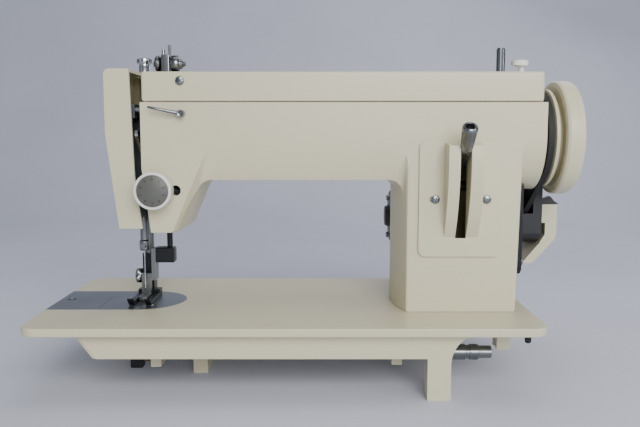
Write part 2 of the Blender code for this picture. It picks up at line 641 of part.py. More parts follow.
def make_face_cover():
    half = ARM_DEPTH / 2
    bend = SHAFT_Z + 0.0033
    outline = [
        (FACE_LEFT, FACE_TOP, 0.004), (FACE_LEFT, bend, 0.02), (FACE_LEFT + 0.0085, FACE_BOTTOM, 0.001),
        (NEEDLE_X + 0.0089, FACE_BOTTOM, 0), (NEEDLE_X + 0.0040, ARM_UNDER + 0.003, 0),
        (NEEDLE_X + 0.0016, FACE_TOP, 0),
    ]
    cover = flat("face_cover", rounded(outline, 4), -half, half, "Y", CREAM)
    soften(cover, 0.0022, 2, 60)
    inset = FACE_WALL
    beyond = NEEDLE_X + 0.03
    inner = [
        (FACE_LEFT + inset, FACE_TOP - inset, 0.002), (FACE_LEFT + inset, bend, 0.02),
        (FACE_LEFT + 0.0085 + inset, FACE_BOTTOM, 0), (FACE_LEFT + 0.0085 + inset, FACE_BOTTOM - 0.01, 0),
        (beyond, FACE_BOTTOM - 0.01, 0), (beyond, FACE_TOP - inset, 0),
    ]
    hollow = flat("face_hollow", rounded(inner, 3), -half + inset, half - inset, "Y", None)
    notch_left = NEEDLE_X - 0.0062
    notch = box("screw_notch", (notch_left, PRESSER_Y - 0.0066, FACE_TOP - 0.01),
                (beyond, PRESSER_Y + 0.0066, FACE_TOP + 0.01))
    cut(cover, hollow, notch)
    for z in (ARM_UNDER - 0.006, SHAFT_Z + 0.022):
        knuckle = rod("cover_knuckle", (HINGE_X, HINGE_Y, z), "Z", 0.008, 0.0028, None, 16)
        strap = box("cover_strap", (HINGE_X - 0.010, half - 0.0015, z),
                    (HINGE_X - 0.0005, half + 0.0015, z + 0.008))
        join(cover, strap, knuckle)
        cut(cover, rod("knuckle_bore", (HINGE_X, HINGE_Y, z - 0.01), "Z", 0.03, 0.0013 + RUN, None, 16))
    hang("face_cover_joint", (HINGE_X, HINGE_Y, ARM_UNDER), cover)


def make_cover_hinge():
    half = ARM_DEPTH / 2
    low = ARM_UNDER + 0.004
    high = SHAFT_Z + 0.020
    outer = half + 0.0016
    leaf = box("cover_hinge", (HINGE_X + 0.0015, half + GAP, low), (HINGE_X + 0.018, outer, high), STEEL)
    reach = SHAFT_Z - ARM_UNDER + 0.040
    pin = rod("hinge_pin", (HINGE_X, HINGE_Y, ARM_UNDER - 0.008), "Z", reach, 0.0013, None, 16)
    barrel = rod("hinge_barrel", (HINGE_X, HINGE_Y, low + 0.001), "Z", high - low - 0.002, 0.0026, None, 16)
    strap = box("hinge_strap", (HINGE_X, half + GAP, low + 0.001), (HINGE_X + 0.003, outer, high - 0.001))
    join(leaf, strap, barrel, pin)


# The head's mechanism.

BUSH_HALF = 0.0046
NEEDLE_BAR_TOP = SHAFT_Z + 0.026
CLAMP_Z = HEAD_BOTTOM - 0.020
CLAMP_HEIGHT = 0.0082
NEEDLE_TIP = BED_HEIGHT + 0.006
TOE_TOP = BED_HEIGHT + 0.0065
WALKING_TOP = HEAD_BOTTOM + 0.022
LINK_LOW = HEAD_BOTTOM - 0.0295
LINK_HIGH = HEAD_BOTTOM - 0.0172


def make_rock_frame():
    left = NEEDLE_X - BUSH_HALF
    right = NEEDLE_X + BUSH_HALF - 0.0003
    front = -0.011
    low = HEAD_BOTTOM + 0.0085
    upper = SHAFT_Z + 0.0013
    pivot = ROCK_PIVOT
    frame = box("needle_bar_frame", (left, front, low), (right, 0.006, low + 0.012), GREY)
    strut = box("strut", (left + 0.001, front, low + 0.001),
                (right - 0.0005, front + 0.0045, pivot.z + 0.003))
    bush = box("upper_bush", (left, front, upper), (right, 0.006, upper + 0.012))
    head = box("rock_head", (left + 0.001, pivot.y - 0.005, pivot.z - 0.006),
               (right - 0.0005, front + 0.0045, pivot.z + 0.004))
    cross = box("cross_arm", (left + 0.004, -0.006, low + 0.002), (WALKING_X + 0.005, 0.0045, low + 0.010))
    join(frame, strut, bush, head, cross)
    bar_bore = NEEDLE_BAR_RADIUS + RUN
    cut(frame, rod("needle_bar_bore", (NEEDLE_X, 0, low - 0.01), "Z", 0.12, bar_bore, None, 24))
    cut(frame, rod("walking_bore", (WALKING_X, 0, low - 0.01), "Z", 0.04, WALKING_BAR_RADIUS + RUN))
    cut(frame, rod("pivot_bore", (left - 0.01, pivot.y, pivot.z), "X", 0.03, 0.0025 + RUN))
    rod("rock_pin", (left - 0.0005, pivot.y, pivot.z), "X", HEAD_LEFT + 0.005 - left, 0.0025, STEEL, 16)
    hang("needle_bar_frame_joint", pivot, frame)


def make_needle_bar():
    bar_low = CLAMP_Z + CLAMP_HEIGHT + GAP
    bar = rod("needle_bar", (NEEDLE_X, 0, bar_low), "Z", NEEDLE_BAR_TOP - bar_low, NEEDLE_BAR_RADIUS, STEEL)
    clamp_profile = [
        (0, CLAMP_HEIGHT), (0.0034, CLAMP_HEIGHT), (0.0040, CLAMP_HEIGHT - 0.0006), (0.0040, 0.0008),
        (0.0034, 0), (0, 0),
    ]
    clamp = turned("needle_clamp", clamp_profile, (NEEDLE_X, 0, CLAMP_Z), "Z", STEEL, 20)
    thumb = rod("clamp_thumb", (NEEDLE_X, -0.0030, CLAMP_Z + 0.0040), "Y", 0.0040, 0.0021, None, 12)
    join(clamp, thumb)
    cut(clamp, rod("needle_seat", (NEEDLE_X, 0, CLAMP_Z - 0.01), "Z", 0.0150, 0.0011, None, 12))
    tip = NEEDLE_TIP - CLAMP_Z
    profile = [(0, 0.0045), (0.0008, 0.0045), (0.0008, -0.004), (0.0005, -0.006), (0.0005, tip + 0.004)]
    profile.append((0, tip))
    needle = turned("needle", profile, (NEEDLE_X, 0, CLAMP_Z), "Z", CHROME, 10)
    hang("needle_bar_joint", (NEEDLE_X, 0, CLAMP_Z), bar, clamp, needle)


def make_walking_foot():
    """The black bar on the right, the block that it carries and the inner foot that lifts and walks."""
    low = LINK_HIGH + GAP
    bar = rod("walking_bar", (WALKING_X, 0, low), "Z", WALKING_TOP - low, WALKING_BAR_RADIUS, BLACKED, 16)
    shank_left = NEEDLE_X + 0.0061
    link = box("link_block", (shank_left + 0.0034 + GAP, -0.0060, LINK_LOW),
               (WALKING_X + 0.0045, 0.0045, LINK_HIGH), BLACKED)
    soften(link, 0.0012, 2)
    sole_low = BED_HEIGHT + 0.0024
    sole_half = 0.0037
    cross_low = TOE_TOP + PRESSER_LIFT + 0.0025
    foot = box("walking_foot", (shank_left, -0.0035, cross_low),
               (shank_left + 0.0034, 0.0070, LINK_HIGH - 0.001), BLACKED)
    riser = box("foot_riser", (NEEDLE_X - sole_half, 0.0025, sole_low + 0.0015),
                (NEEDLE_X + sole_half, 0.0070, cross_low + 0.0045))
    cross = box("foot_cross", (NEEDLE_X + sole_half - 0.001, 0.0025, cross_low),
                (shank_left + 0.0020, 0.0070, cross_low + 0.0045))
    sole = flat("foot_sole", rounded([
        (NEEDLE_X - sole_half, -0.0110, 0.0015), (NEEDLE_X + sole_half, -0.0110, 0.0015),
        (NEEDLE_X + sole_half, 0.0068, 0), (NEEDLE_X - sole_half, 0.0068, 0),
    ], 2), sole_low, sole_low + 0.0024, "Z", None)
    join(foot, sole, riser, cross)
    cut(foot, rod("needle_way", (NEEDLE_X, 0, sole_low - 0.01), "Z", 0.02, 0.0017, None, 16))
    hang("walking_foot_joint", (WALKING_X, 0, LINK_LOW), bar, link, foot)


def make_presser():
    bar_low = BED_HEIGHT + 0.028
    bar_top = SHAFT_Z + 0.0083
    y = PRESSER_Y
    bar = rod("presser_bar", (NEEDLE_X, y, bar_low), "Z", bar_top - bar_low, PRESSER_BAR_RADIUS, STEEL)
    guide_z = LIFTER_Z + LIFTER_HUB + GAP * 1.5
    place = (NEEDLE_X, y, guide_z)
    guide = ring("presser_guide", 0.0062, PRESSER_BAR_RADIUS + GAP, 0, 0.009, place, "Z", GREY)
    ear_back = GUIDE_BACK
    ear_top = guide_z + 0.0036
    arm = box("guide_arm", (NEEDLE_X + 0.0052, y + 0.0035, guide_z), (LIFTER_X + 0.003, ear_back, ear_top))
    ear = box("guide_ear", (NEEDLE_X, y + 0.0048, guide_z), (NEEDLE_X + 0.0070, ear_back, ear_top))
    join(guide, arm, ear)
    low = BED_HEIGHT + GAP
    wide = 0.0047
    foot = box("presser_foot", (NEEDLE_X - wide, y - 0.0053, low + 0.004),
               (NEEDLE_X + wide, y + 0.0053, bar_low + 0.009), BLACKED)
    toe_in = DOG_HALF_WIDTH + 0.0004
    toe_out = toe_in + 0.0046
    bridge = box("toe_bridge", (NEEDLE_X - toe_out, y - 0.0048, low),
                 (NEEDLE_X + toe_out, y + 0.0040, low + 0.0060))
    join(foot, bridge)
    for side in (-1, 1):
        inner = NEEDLE_X + side * toe_in
        outer = NEEDLE_X + side * toe_out
        tip = [(-0.0185, low + 0.0032), (-0.0235, TOE_TOP), (-0.0245, TOE_TOP - 0.0010), (-0.0190, low)]
        toe = [Vector((y - 0.0040, low)), Vector((y - 0.0040, low + 0.0032))] + [Vector(p) for p in tip]
        join(foot, flat("toe", toe, min(inner, outer), max(inner, outer), "X", None))
    cut(foot, rod("bar_pocket", (NEEDLE_X, y, bar_low - GAP), "Z", 0.03, PRESSER_BAR_RADIUS + GAP, None, 24))
    screw_z = BED_HEIGHT + 0.0172
    screw = [(0, 0.0062), (0.0054, 0.0062), (0.0062, 0.0054), (0.0062, 0.0008), (0.0054, 0.0), (0, 0)]
    turned("foot_screw", screw, (NEEDLE_X - wide - 0.0062 - GAP, y, screw_z), "X", STEEL, 24)
    turns = 7
    spring_low = guide_z + 0.009 + GAP + 0.0007
    spring_high = SHAFT_Z + 0.0183 - GAP - 0.0008
    coil = []
    for i in range(turns * 10 + 1):
        angle = math.tau * i / 10
        height = spring_low + (spring_high - spring_low) * i / (turns * 10)
        coil.append((NEEDLE_X + 0.0055 * math.cos(angle), y + 0.0055 * math.sin(angle), height))
    spring = wire("presser_spring", coil, 0.0007, STEEL)
    pieces = (bar, guide, foot, bpy.data.objects["foot_screw"], spring)
    hang("presser_joint", (NEEDLE_X, y, bar_low), *pieces)


def make_regulator():
    stem_low = SHAFT_Z + 0.0183 + 0.007 + GAP
    top = COVER_TOP + 0.0150
    profile = [
        (0, top), (0.0050, top), (0.00605, top - 0.001), (0.00605, top - 0.0042), (0.0052, top - 0.0050),
        (0.00465, top - 0.0052), (0.00465, stem_low), (0, stem_low),
    ]
    knob = turned("presser_regulator", profile, (NEEDLE_X, PRESSER_Y, 0), "Z", CHROME, 28)
    hang("presser_regulator_joint", (NEEDLE_X, PRESSER_Y, top), knob)


def make_lifter():
    """The lever behind the head that raises the presser foot."""
    back = ARM_DEPTH / 2
    length = back + 0.0045 - (GUIDE_BACK - 0.0055)
    shaft = rod("presser_lifter", (LIFTER_X, back + 0.0045, LIFTER_Z), "Y", length, LIFTER_RADIUS, STEEL)
    tip_x = LIFTER_X - 0.0150
    tip_z = LIFTER_Z - 0.030
    outline = rounded([
        (LIFTER_X - 0.0050, LIFTER_Z + 0.0050, 0.0049), (LIFTER_X + 0.0050, LIFTER_Z + 0.0050, 0.0049),
        (tip_x + 0.0055, tip_z, 0.0050), (tip_x - 0.0055, tip_z, 0.0050),
    ], 4)
    handle = flat("lifter_handle", outline, -back - 0.0060, -back - 0.0020, "Y", None)
    lobe = arc((LIFTER_X, LIFTER_Z), LIFTER_HUB, 60, 300, 8)
    lobe += arc((LIFTER_X + PRESSER_LIFT + LIFTER_HUB - 0.0025, LIFTER_Z), 0.0025, -60, 60, 4)
    cam = flat("lifter_cam", lobe, -GUIDE_BACK, -GUIDE_BACK + 0.0050, "Y", None)
    join(shaft, handle, cam)
    hang("presser_lifter_joint", (LIFTER_X, back, LIFTER_Z), shaft)


def make_take_up():
    pivot = TAKE_UP_PIVOT
    eye = Vector((ARM_FRONT + 0.005, SHAFT_Z + 0.0033))
    centre = Vector((pivot.y, pivot.z))
    along = (eye - centre).normalized()
    across = Vector((-along.y, along.x))
    angle = math.degrees(math.atan2(along.y, along.x))
    hub = arc(centre, 0.0050, angle + 60, angle + 300, 10)
    head = arc(eye, 0.0034, angle - 80, angle + 80, 8)
    waist = centre + along * 0.020
    outline = hub + [waist - across * 0.0024] + head + [waist + across * 0.0024]
    lever = flat("take_up_lever", outline, pivot.x - 0.0011, pivot.x + 0.0011, "X", CHROME)
    cut(lever, rod("eye_hole", (pivot.x - 0.01, eye.x, eye.y), "X", 0.02, 0.0014, None, 12))
    cut(lever, rod("pivot_hole", (pivot.x - 0.01, pivot.y, pivot.z), "X", 0.02, 0.0025 + RUN))
    hang("take_up_joint", pivot, lever)


# Main shaft, hand wheel and clutch knob.

KNOB_FACE = 0.0065


def make_shaft_and_wheel():
    crank_left = CRANK_X
    shaft_left = crank_left + 0.010 + GAP
    wheel_right = WHEEL_END - KNOB_FACE
    length = wheel_right - 0.002 - shaft_left
    shaft = rod("main_shaft", (shaft_left, 0, SHAFT_Z), "X", length, SHAFT_RADIUS, STEEL, 24)
    crank = turned("needle_crank", [(0, 0.010), (0.018, 0.010), (0.018, 0), (0, 0)],
                   (crank_left, 0, SHAFT_Z), "X", GREY, 28)
    pin = rod("crank_pin", (crank_left - 0.0068, 0.0105, SHAFT_Z + 0.0058), "X", 0.009, 0.003, None, 16)
    join(crank, pin)
    x = WHEEL_LEFT
    bore = SHAFT_RADIUS + GAP
    rim = WHEEL_RADIUS
    profile = [
        (bore, wheel_right - x), (0.024, wheel_right - x), (0.025, wheel_right - x - 0.001),
        (rim - 0.005, wheel_right - x), (rim - 0.0015, wheel_right - x - 0.0015),
        (rim, wheel_right - x - 0.005), (rim, 0.0160), (rim - 0.001, 0.0142), (rim - 0.004, 0.0136),
        (rim - 0.009, 0.0156),
        (0.030, 0.0156), (0.030, 0.0108), (PULLEY_RADIUS - 0.001, 0.0108), (PULLEY_RADIUS, 0.0100),
        (PULLEY_RADIUS, 0.0078), (PULLEY_RADIUS - 0.0050, 0.0070), (PULLEY_RADIUS - 0.0050, 0.0010),
        (PULLEY_RADIUS - 0.0010, 0.0004), (PULLEY_RADIUS - 0.0010, 0.0), (bore, 0.0),
    ]
    wheel = turned("hand_wheel", profile, (x, 0, SHAFT_Z), "X", CREAM, 32, closed=True)
    hang("wheel_joint", (x, 0, SHAFT_Z), shaft, crank, wheel)
    face = KNOB_FACE
    knob_profile = [
        (0, face), (0.0180, face), (0.0205, face - 0.0012), (0.0215, face - 0.003), (0.0215, GAP), (0, GAP),
    ]
    knob = turned("stop_motion_knob", knob_profile, (wheel_right, 0, SHAFT_Z), "X", CHROME, 32)
    hang("stop_motion_joint", (wheel_right, 0, SHAFT_Z), knob)


# Motor, belt and guards behind the pillar.

MOTOR_LEFT = PILLAR_LEFT - 0.0037
BRACKET_X = PILLAR_RIGHT + 0.0015
BRACKET_THICKNESS = 0.004


def make_motor():
    right = BRACKET_X - GAP - MOTOR_LEFT
    radius = MOTOR_RADIUS
    profile = [
        (0, right), (radius - 0.004, right), (radius, right - 0.004), (radius, 0.013),
        (radius - 0.003, 0.010), (radius - 0.0035, 0.004), (radius - 0.007, 0.0), (0.010, 0.0),
        (0.0085, -0.0042), (0, -0.0045),
    ]
    turned("motor_housing", profile, (MOTOR_LEFT, MOTOR_Y, MOTOR_Z), "X", BLACK_PLASTIC, 28)
    for name, side in (("motor_screw_upper", 1), ("motor_screw_lower", -1)):
        place = (MOTOR_LEFT - 0.0030 - GAP, MOTOR_Y - 0.004, MOTOR_Z + side * 0.0165)
        head = [(0, 0.003), (0.0026, 0.003), (0.0026, 0.0006), (0.002, 0), (0, 0)]
        turned(name, head, place, "X", STEEL, 12)
    shaft_start = BRACKET_X + BRACKET_THICKNESS + 0.001
    reach = BELT_X - shaft_start
    half = BELT_WIDTH / 2
    groove = MOTOR_PULLEY_RADIUS - 0.0035
    lip = MOTOR_PULLEY_RADIUS
    profile = [
        (0, reach + half + 0.004), (lip - 0.0008, reach + half + 0.004), (lip, reach + half + 0.0032),
        (lip, reach + half + 0.0022), (groove, reach + half + 0.0006), (groove, reach - half - 0.0006),
        (lip, reach - half - 0.0022), (lip, reach - half - 0.0032), (0.004, reach - half - 0.0036),
        (0.004, 0), (0, 0),
    ]
    pulley = turned("motor_pulley", profile, (shaft_start, MOTOR_Y, MOTOR_Z), "X", STEEL, 24)
    hang("motor_joint", (shaft_start, MOTOR_Y, MOTOR_Z), pulley)


def belt_line(extra):
    """The belt's outline in the YZ plane, round the wheel's groove and the motor's, grown by extra."""
    big = Vector((0.0, SHAFT_Z))
    small = Vector((MOTOR_Y, MOTOR_Z))
    big_radius = PULLEY_RADIUS - 0.0050 + GAP * 2 + extra
    small_radius = MOTOR_PULLEY_RADIUS - 0.0035 + GAP * 2 + extra
    line = small - big
    heading = math.degrees(math.atan2(line.y, line.x))
    lean = math.degrees(math.acos((big_radius - small_radius) / line.length))
    round_big = arc(big, big_radius, heading + lean, heading + 360 - lean, 26)
    round_small = arc(small, small_radius, heading - lean, heading + lean, 12)
    return round_big + round_small


def make_belt():
    low = BELT_X - BELT_WIDTH / 2
    high = BELT_X + BELT_WIDTH / 2
    belt = flat("drive_belt", belt_line(0.0034), low, high, "X", BELT_RUBBER)
    cut(belt, flat("belt_inside", belt_line(0.0), low - 0.01, high + 0.01, "X", None))
    return smooth(belt)


def make_bracket():
    thick = BRACKET_THICKNESS
    outline = rounded([
        (-0.024, ARM_UNDER - 0.003, 0.002), (-0.024, ARM_UNDER - 0.076, 0.008),
        (-0.006, ARM_UNDER - 0.076, 0.008), (0.030, ARM_UNDER - 0.066, 0.010),
        (0.083, ARM_UNDER - 0.066, 0.010), (0.083, ARM_UNDER - 0.012, 0.010),
        (0.020, ARM_UNDER - 0.003, 0.004),
    ], 3)
    bracket = flat("motor_bracket", outline, BRACKET_X, BRACKET_X + thick, "X", BLACKED)
    clear = ARM_DEPTH / 2 + 0.0012
    cut(bracket, rod("boss_clearance", (BRACKET_X - 0.01, 0, SHAFT_Z), "X", 0.03, clear, None, 36))
    cut(bracket, rod("motor_shaft_hole", (BRACKET_X - 0.01, MOTOR_Y, MOTOR_Z), "X", 0.03, 0.006))
    head = [(0, 0.0026), (0.0030, 0.0022), (0.0036, 0.0008), (0.0036, 0.0), (0, 0.0)]
    turned("bracket_screw", head, (BRACKET_X + thick + GAP, -0.0150, ARM_UNDER - 0.066), "X", STEEL, 14)
    return bracket


def make_guards():
    """The black inner guard round the small pulley, and the cream cap that closes its right side."""
    left = BRACKET_X + BRACKET_THICKNESS + 0.0004
    right = WHEEL_END - 0.018
    low = ARM_UNDER - 0.057
    high = ARM_UNDER - 0.004
    back = BED_WIDTH / 2 - 0.0015
    outline = rounded([
        (0.024, low + 0.004, 0.006), (0.040, low - 0.002, 0.008), (back, low - 0.002, 0.010),
        (back, high - 0.010, 0.010), (BED_WIDTH / 2 - 0.022, high, 0.006), (0.024, high, 0.002),
    ], 3)
    guard = flat("belt_guard", outline, left, right, "X", BLACK_PLASTIC)
    wall = 0.0018
    inner = rounded([
        (0.024 + wall, low + 0.006, 0.005), (0.041, low - 0.002 + wall, 0.007),
        (back - wall, low - 0.002 + wall, 0.009),
        (back - wall, high - 0.011, 0.009), (BED_WIDTH / 2 - 0.022, high + 0.02, 0),
        (0.024 + wall, high + 0.02, 0),
    ], 3)
    cut(guard, flat("guard_inside", inner, left + wall, right - wall, "X", None))
    clear = WHEEL_RADIUS + 0.0015
    cut(guard, rod("wheel_clearance", (BOSS_END - 0.001, 0, SHAFT_Z), "X", 0.06, clear, None, 40))
    clear = ARM_DEPTH / 2 + 0.0012
    cut(guard, rod("boss_way", (left - 0.01, 0, SHAFT_Z), "X", 0.03, clear, None, 36))
    cut(guard, rod("pulley_shaft_hole", (left - 0.01, MOTOR_Y, MOTOR_Z), "X", 0.015, 0.006))
    cut(guard, flat("belt_way", belt_line(0.0055), BELT_X - 0.006, BELT_X + 0.006, "X", None))
    inner_x = right + GAP
    outer_x = WHEEL_END - 0.0034
    top = ARM_UNDER - 0.025
    step = ARM_UNDER - 0.041
    foot = ARM_UNDER - 0.076
    face = rounded([
        (inner_x, top, 0.0008), (outer_x, top, 0.0012), (outer_x, step - 0.013, 0.012),
        (outer_x - 0.0200, foot, 0.003), (outer_x - 0.0290, foot, 0.001),
        (inner_x - 0.0005, step - 0.0180, 0.002),
        (inner_x + 0.0045, step - 0.010, 0.002), (inner_x + 0.0045, step, 0), (inner_x, step, 0),
    ], 3)
    cap_front = 0.030
    cap_back = BED_WIDTH / 2 - 0.001
    cap = flat("belt_guard_cap", face, -cap_back, -cap_front, "Y", CREAM)
    cut(cap, box("cap_clearance", (left - 0.03, 0.0, low - 0.0023), (right + GAP, cap_back + 0.02, step)))
    return guard


# The stitch-length plate and lever on the pillar.

STITCH_LEFT = LEVER_X - 0.0316
STITCH_RIGHT = LEVER_X + 0.0310
STITCH_LOW = ARM_UNDER - 0.0577
STITCH_HIGH = ARM_UNDER + 0.0295
HUMP_CENTRE = Vector((ARM_FRONT + 0.088, ARM_UNDER + 0.015))
HUMP_RADIUS = 0.107


def make_stitch_plate():
    face = -ARM_FRONT + GAP
    proud = face + 0.0018
    corners = [(STITCH_LEFT, STITCH_LOW, 0.005), (STITCH_RIGHT, STITCH_LOW, 0.005)]
    corners += [(STITCH_RIGHT, STITCH_HIGH, 0.005), (STITCH_LEFT, STITCH_HIGH, 0.005)]
    plate = flat("stitch_plate", rounded(corners, 4), face, proud, "Y", CREAM)
    top = STITCH_HIGH - 0.0008
    start = 180 + math.degrees(math.asin((ARM_UNDER - 0.043 - HUMP_CENTRE.y) / HUMP_RADIUS)) * -1
    finish_angle = 180 - math.degrees(math.asin((top - 0.002 - HUMP_CENTRE.y) / HUMP_RADIUS))
    curve = arc(HUMP_CENTRE, HUMP_RADIUS, start, finish_angle, 10)
    outline = [Vector((-face - 0.0005, curve[0].y))] + curve + [Vector((-face - 0.0005, top))]
    hump = flat("stitch_hump", outline, LEVER_X - 0.0125, LEVER_X + 0.0135, "X", None)
    join(plate, hump)
    slot = box("lever_slot", (LEVER_X - 0.0040, ARM_FRONT - 0.039, LEVER_PIVOT.z - 0.0365),
               (LEVER_X + 0.0040, ARM_FRONT + 0.01, STITCH_HIGH + 0.002))
    cut(plate, slot)
    stem = STITCH_SCREW_RADIUS
    head = [(0, 0.0019), (0.0022, 0.0016), (0.0032, 0.0005), (0.0032, 0)]
    head += [(stem, 0), (stem, -0.006), (0, -0.006)]
    for side, name in ((-1, "stitch_screw_left"), (1, "stitch_screw_right")):
        x = LEVER_X + side * STITCH_SCREW_SPREAD
        slot_left = x - 0.0050
        slot_right = x + 0.0020
        under = STITCH_SCREW_Z - 0.0020
        over = STITCH_SCREW_Z + 0.0020
        corners = [(slot_left, under), (slot_right, under), (slot_right, over), (slot_left, over)]
        hole = rounded([(*corner, 0.0019) for corner in corners], 3)
        cut(plate, flat("screw_slot", hole, face - 0.01, proud + 0.01, "Y", None))
        turned(name, head, (x, -proud - GAP, STITCH_SCREW_Z), "Y", CHROME, 16)
    return plate


def make_stitch_lever():
    pivot = LEVER_PIVOT
    knob_base = Vector((0, ARM_FRONT - 0.0160, pivot.z + 0.0290))
    knob_tip = Vector((0, ARM_FRONT - 0.0305, pivot.z + 0.0476))
    reach = Vector((knob_base.y - pivot.y, knob_base.z - pivot.z))
    along = reach.normalized()
    across = Vector((-along.y, along.x))
    hub_centre = Vector((pivot.y, pivot.z))
    angle = math.degrees(math.atan2(along.y, along.x))
    end = hub_centre + reach - along * 0.0005
    outline = arc(hub_centre, 0.0070, angle + 40, angle + 320, 14)
    outline += [end - across * 0.0028, end + across * 0.0028]
    lever = flat("stitch_lever", outline, LEVER_X - 0.0025, LEVER_X + 0.0025, "X", STEEL)
    join(lever, rod("lever_axle", (LEVER_X - 0.024, pivot.y, pivot.z), "X", 0.048, 0.0040, None, 16))
    direction = (knob_tip - knob_base)
    length = direction.length
    turn = direction.to_track_quat("Z", "Y").to_matrix().to_4x4()
    radius = KNOB_RADIUS
    neck = 0.0072
    profile = [
        (0, length), (radius * 0.55, length - 0.0003), (radius * 0.9, length - 0.0018),
        (radius, length - 0.004), (radius * 0.97, neck + 0.0038), (radius * 0.62, neck),
        (radius * 0.44, neck - 0.0026),
        (radius * 0.44, 0.0016), (0, 0.0016),
    ]
    knob = turned("stitch_lever_knob", profile, (LEVER_X, knob_base.y, knob_base.z), turn, CHROME, 24)
    hang("stitch_lever_joint", pivot, lever, knob)


# Thread path on the head's front: dial, discs, stud and the thread hook.


def make_dial():
    front = -ARM_FRONT
    radius = DIAL_RADIUS
    disc_front = front + GAP + 0.0044
    dial_low = disc_front + GAP
    dial_high = front + 0.0180
    bore = 0.0025 + RUN
    ring("tension_discs", 0.0108, bore, front + GAP, disc_front, (DIAL_X, 0, DIAL_Z), "Y", CHROME, 28, 0.0012)
    profile = [
        (0, dial_high - 0.0012), (radius - 0.0022, dial_high - 0.0012), (radius - 0.0018, dial_high),
        (radius - 0.0006, dial_high), (radius, dial_high - 0.0008), (radius, dial_low + 0.0012),
        (radius - 0.0012, dial_low), (bore, dial_low), (bore, dial_high - 0.0032), (0, dial_high - 0.0032),
    ]
    dial = turned("tension_dial", profile, (DIAL_X, 0, DIAL_Z), "Y", WHITE_PLASTIC, 28)
    stud_length = dial_high - 0.0036 - front + 0.006
    rod("tension_stud", (DIAL_X, -front + 0.006, DIAL_Z), "Y", stud_length, 0.0025, STEEL, 16)
    hang("tension_dial_joint", (DIAL_X, -front, DIAL_Z), dial)


def make_thread_hook():
    root = Vector((NEEDLE_X + 0.0417, ARM_FRONT - GAP, SHAFT_Z + 0.0176))
    out = -0.0095
    run = [(0, 0, 0), (0, out * 0.6, 0), (-0.0015, out, 0.0002), (-0.0266, out - 0.0005, 0.0038)]
    curl = [(-0.0285, out + 0.0012, 0.0036), (-0.0285, out + 0.0040, 0.0026), (-0.0262, out + 0.0052, 0.0018)]
    points = [root + Vector(step) for step in run + curl]
    wire("thread_hook", points, 0.0013, CHROME)


# Below the bed: hook, feed shaft and feed dog.


def make_hook():
    left = NEEDLE_X - 0.0146
    radius = HOOK_RADIUS
    depth = 0.0220
    outer = [(0, depth), (radius - 0.003, depth), (radius, depth - 0.003), (radius, 0.0006)]
    outer.append((radius - 0.0004, 0))
    inner = [(radius - 0.0025, 0), (radius - 0.0025, depth - 0.0035), (0, depth - 0.0035)]
    hook = turned("shuttle_hook", outer + inner, (left, 0, HOOK_Z), "X", STEEL, 28)
    shaft_left = left + depth + GAP
    shaft_right = LEG_X - 0.006
    length = shaft_right - shaft_left
    shaft = rod("hook_shaft", (shaft_left, 0, HOOK_Z), "X", length, HOOK_SHAFT_RADIUS, STEEL)
    hang("hook_joint", (left, 0, HOOK_Z), hook, shaft)
    case_radius = radius - 0.0025 - 0.0006
    case = [(0, depth - 0.0042), (case_radius, depth - 0.0042), (case_radius, 0.0002)]
    case.append((case_radius - 0.001, -0.0008))
    case += [(0.0045, -0.0008), (0.0045, 0.0010), (0, 0.0010)]
    turned("bobbin_case", case, (left, 0, HOOK_Z), "X", CHROME, 24)


def make_feed():
    dog_top = BED_HEIGHT - 0.0006
    dog = box("feed_dog", (NEEDLE_X - DOG_HALF_WIDTH, -DOG_HALF_LENGTH, HOOK_Z + HOOK_RADIUS + 0.0018),
              (NEEDLE_X + DOG_HALF_WIDTH, DOG_HALF_LENGTH, dog_top), STEEL)
    for row in range(7):
        y = -DOG_HALF_LENGTH + 0.0020 + row * (2 * DOG_HALF_LENGTH - 0.004) / 6
        groove = box("tooth_gap", (NEEDLE_X - 0.01, y - 0.0005, dog_top - 0.0009),
                     (NEEDLE_X + 0.01, y + 0.0005, dog_top + 0.01))
        cut(dog, groove)
    cut(dog, rod("dog_needle_hole", (NEEDLE_X, 0, HOOK_Z), "Z", 0.04, NEEDLE_HOLE, None, 16))
    hang("feed_dog_joint", (NEEDLE_X, 0, dog_top), dog)
    shaft_left = NEEDLE_X + 0.0042
    shaft_right = LUG_X - 0.0030
    length = shaft_right - shaft_left
    shaft = rod("feed_shaft", (shaft_left, FEED_Y, FEED_Z), "X", length, FEED_SHAFT_RADIUS, STEEL)
    crank_outline = rounded([
        (FEED_Y - 0.0065, FEED_Z + 0.0100, 0.0055), (FEED_Y - 0.0065, FEED_Z - 0.0120, 0.0030),
        (FEED_Y + 0.0065, FEED_Z - 0.0120, 0.0030), (FEED_Y + 0.0065, FEED_Z + 0.0100, 0.0055),
    ], 3)
    crank = flat("feed_crank", crank_outline, NEEDLE_X - 0.0048, NEEDLE_X + 0.0040, "X", BLACKED)
    bush_place = (NEEDLE_X + 0.0048, FEED_Y, FEED_Z)
    ring("feed_bush", 0.0075, FEED_SHAFT_RADIUS + RUN, 0, 0.0068, bush_place, "X", BRONZE)
    bore = FEED_SHAFT_RADIUS + GAP
    collar_x = SKIRT_RIGHT + 0.0080
    profile = [
        (bore, 0.022), (0.0058, 0.022), (0.0063, 0.0215), (0.0063, 0.0150), (0.0055, 0.0146),
        (0.0055, 0.0120), (0.0063, 0.0116), (0.0063, 0.0005), (0.0058, 0), (bore, 0),
    ]
    collar = turned("shaft_collar", profile, (collar_x, FEED_Y, FEED_Z), "X", CHROME, 20, closed=True)
    hang("feed_shaft_joint", (NEEDLE_X, FEED_Y, FEED_Z), shaft, crank, collar)


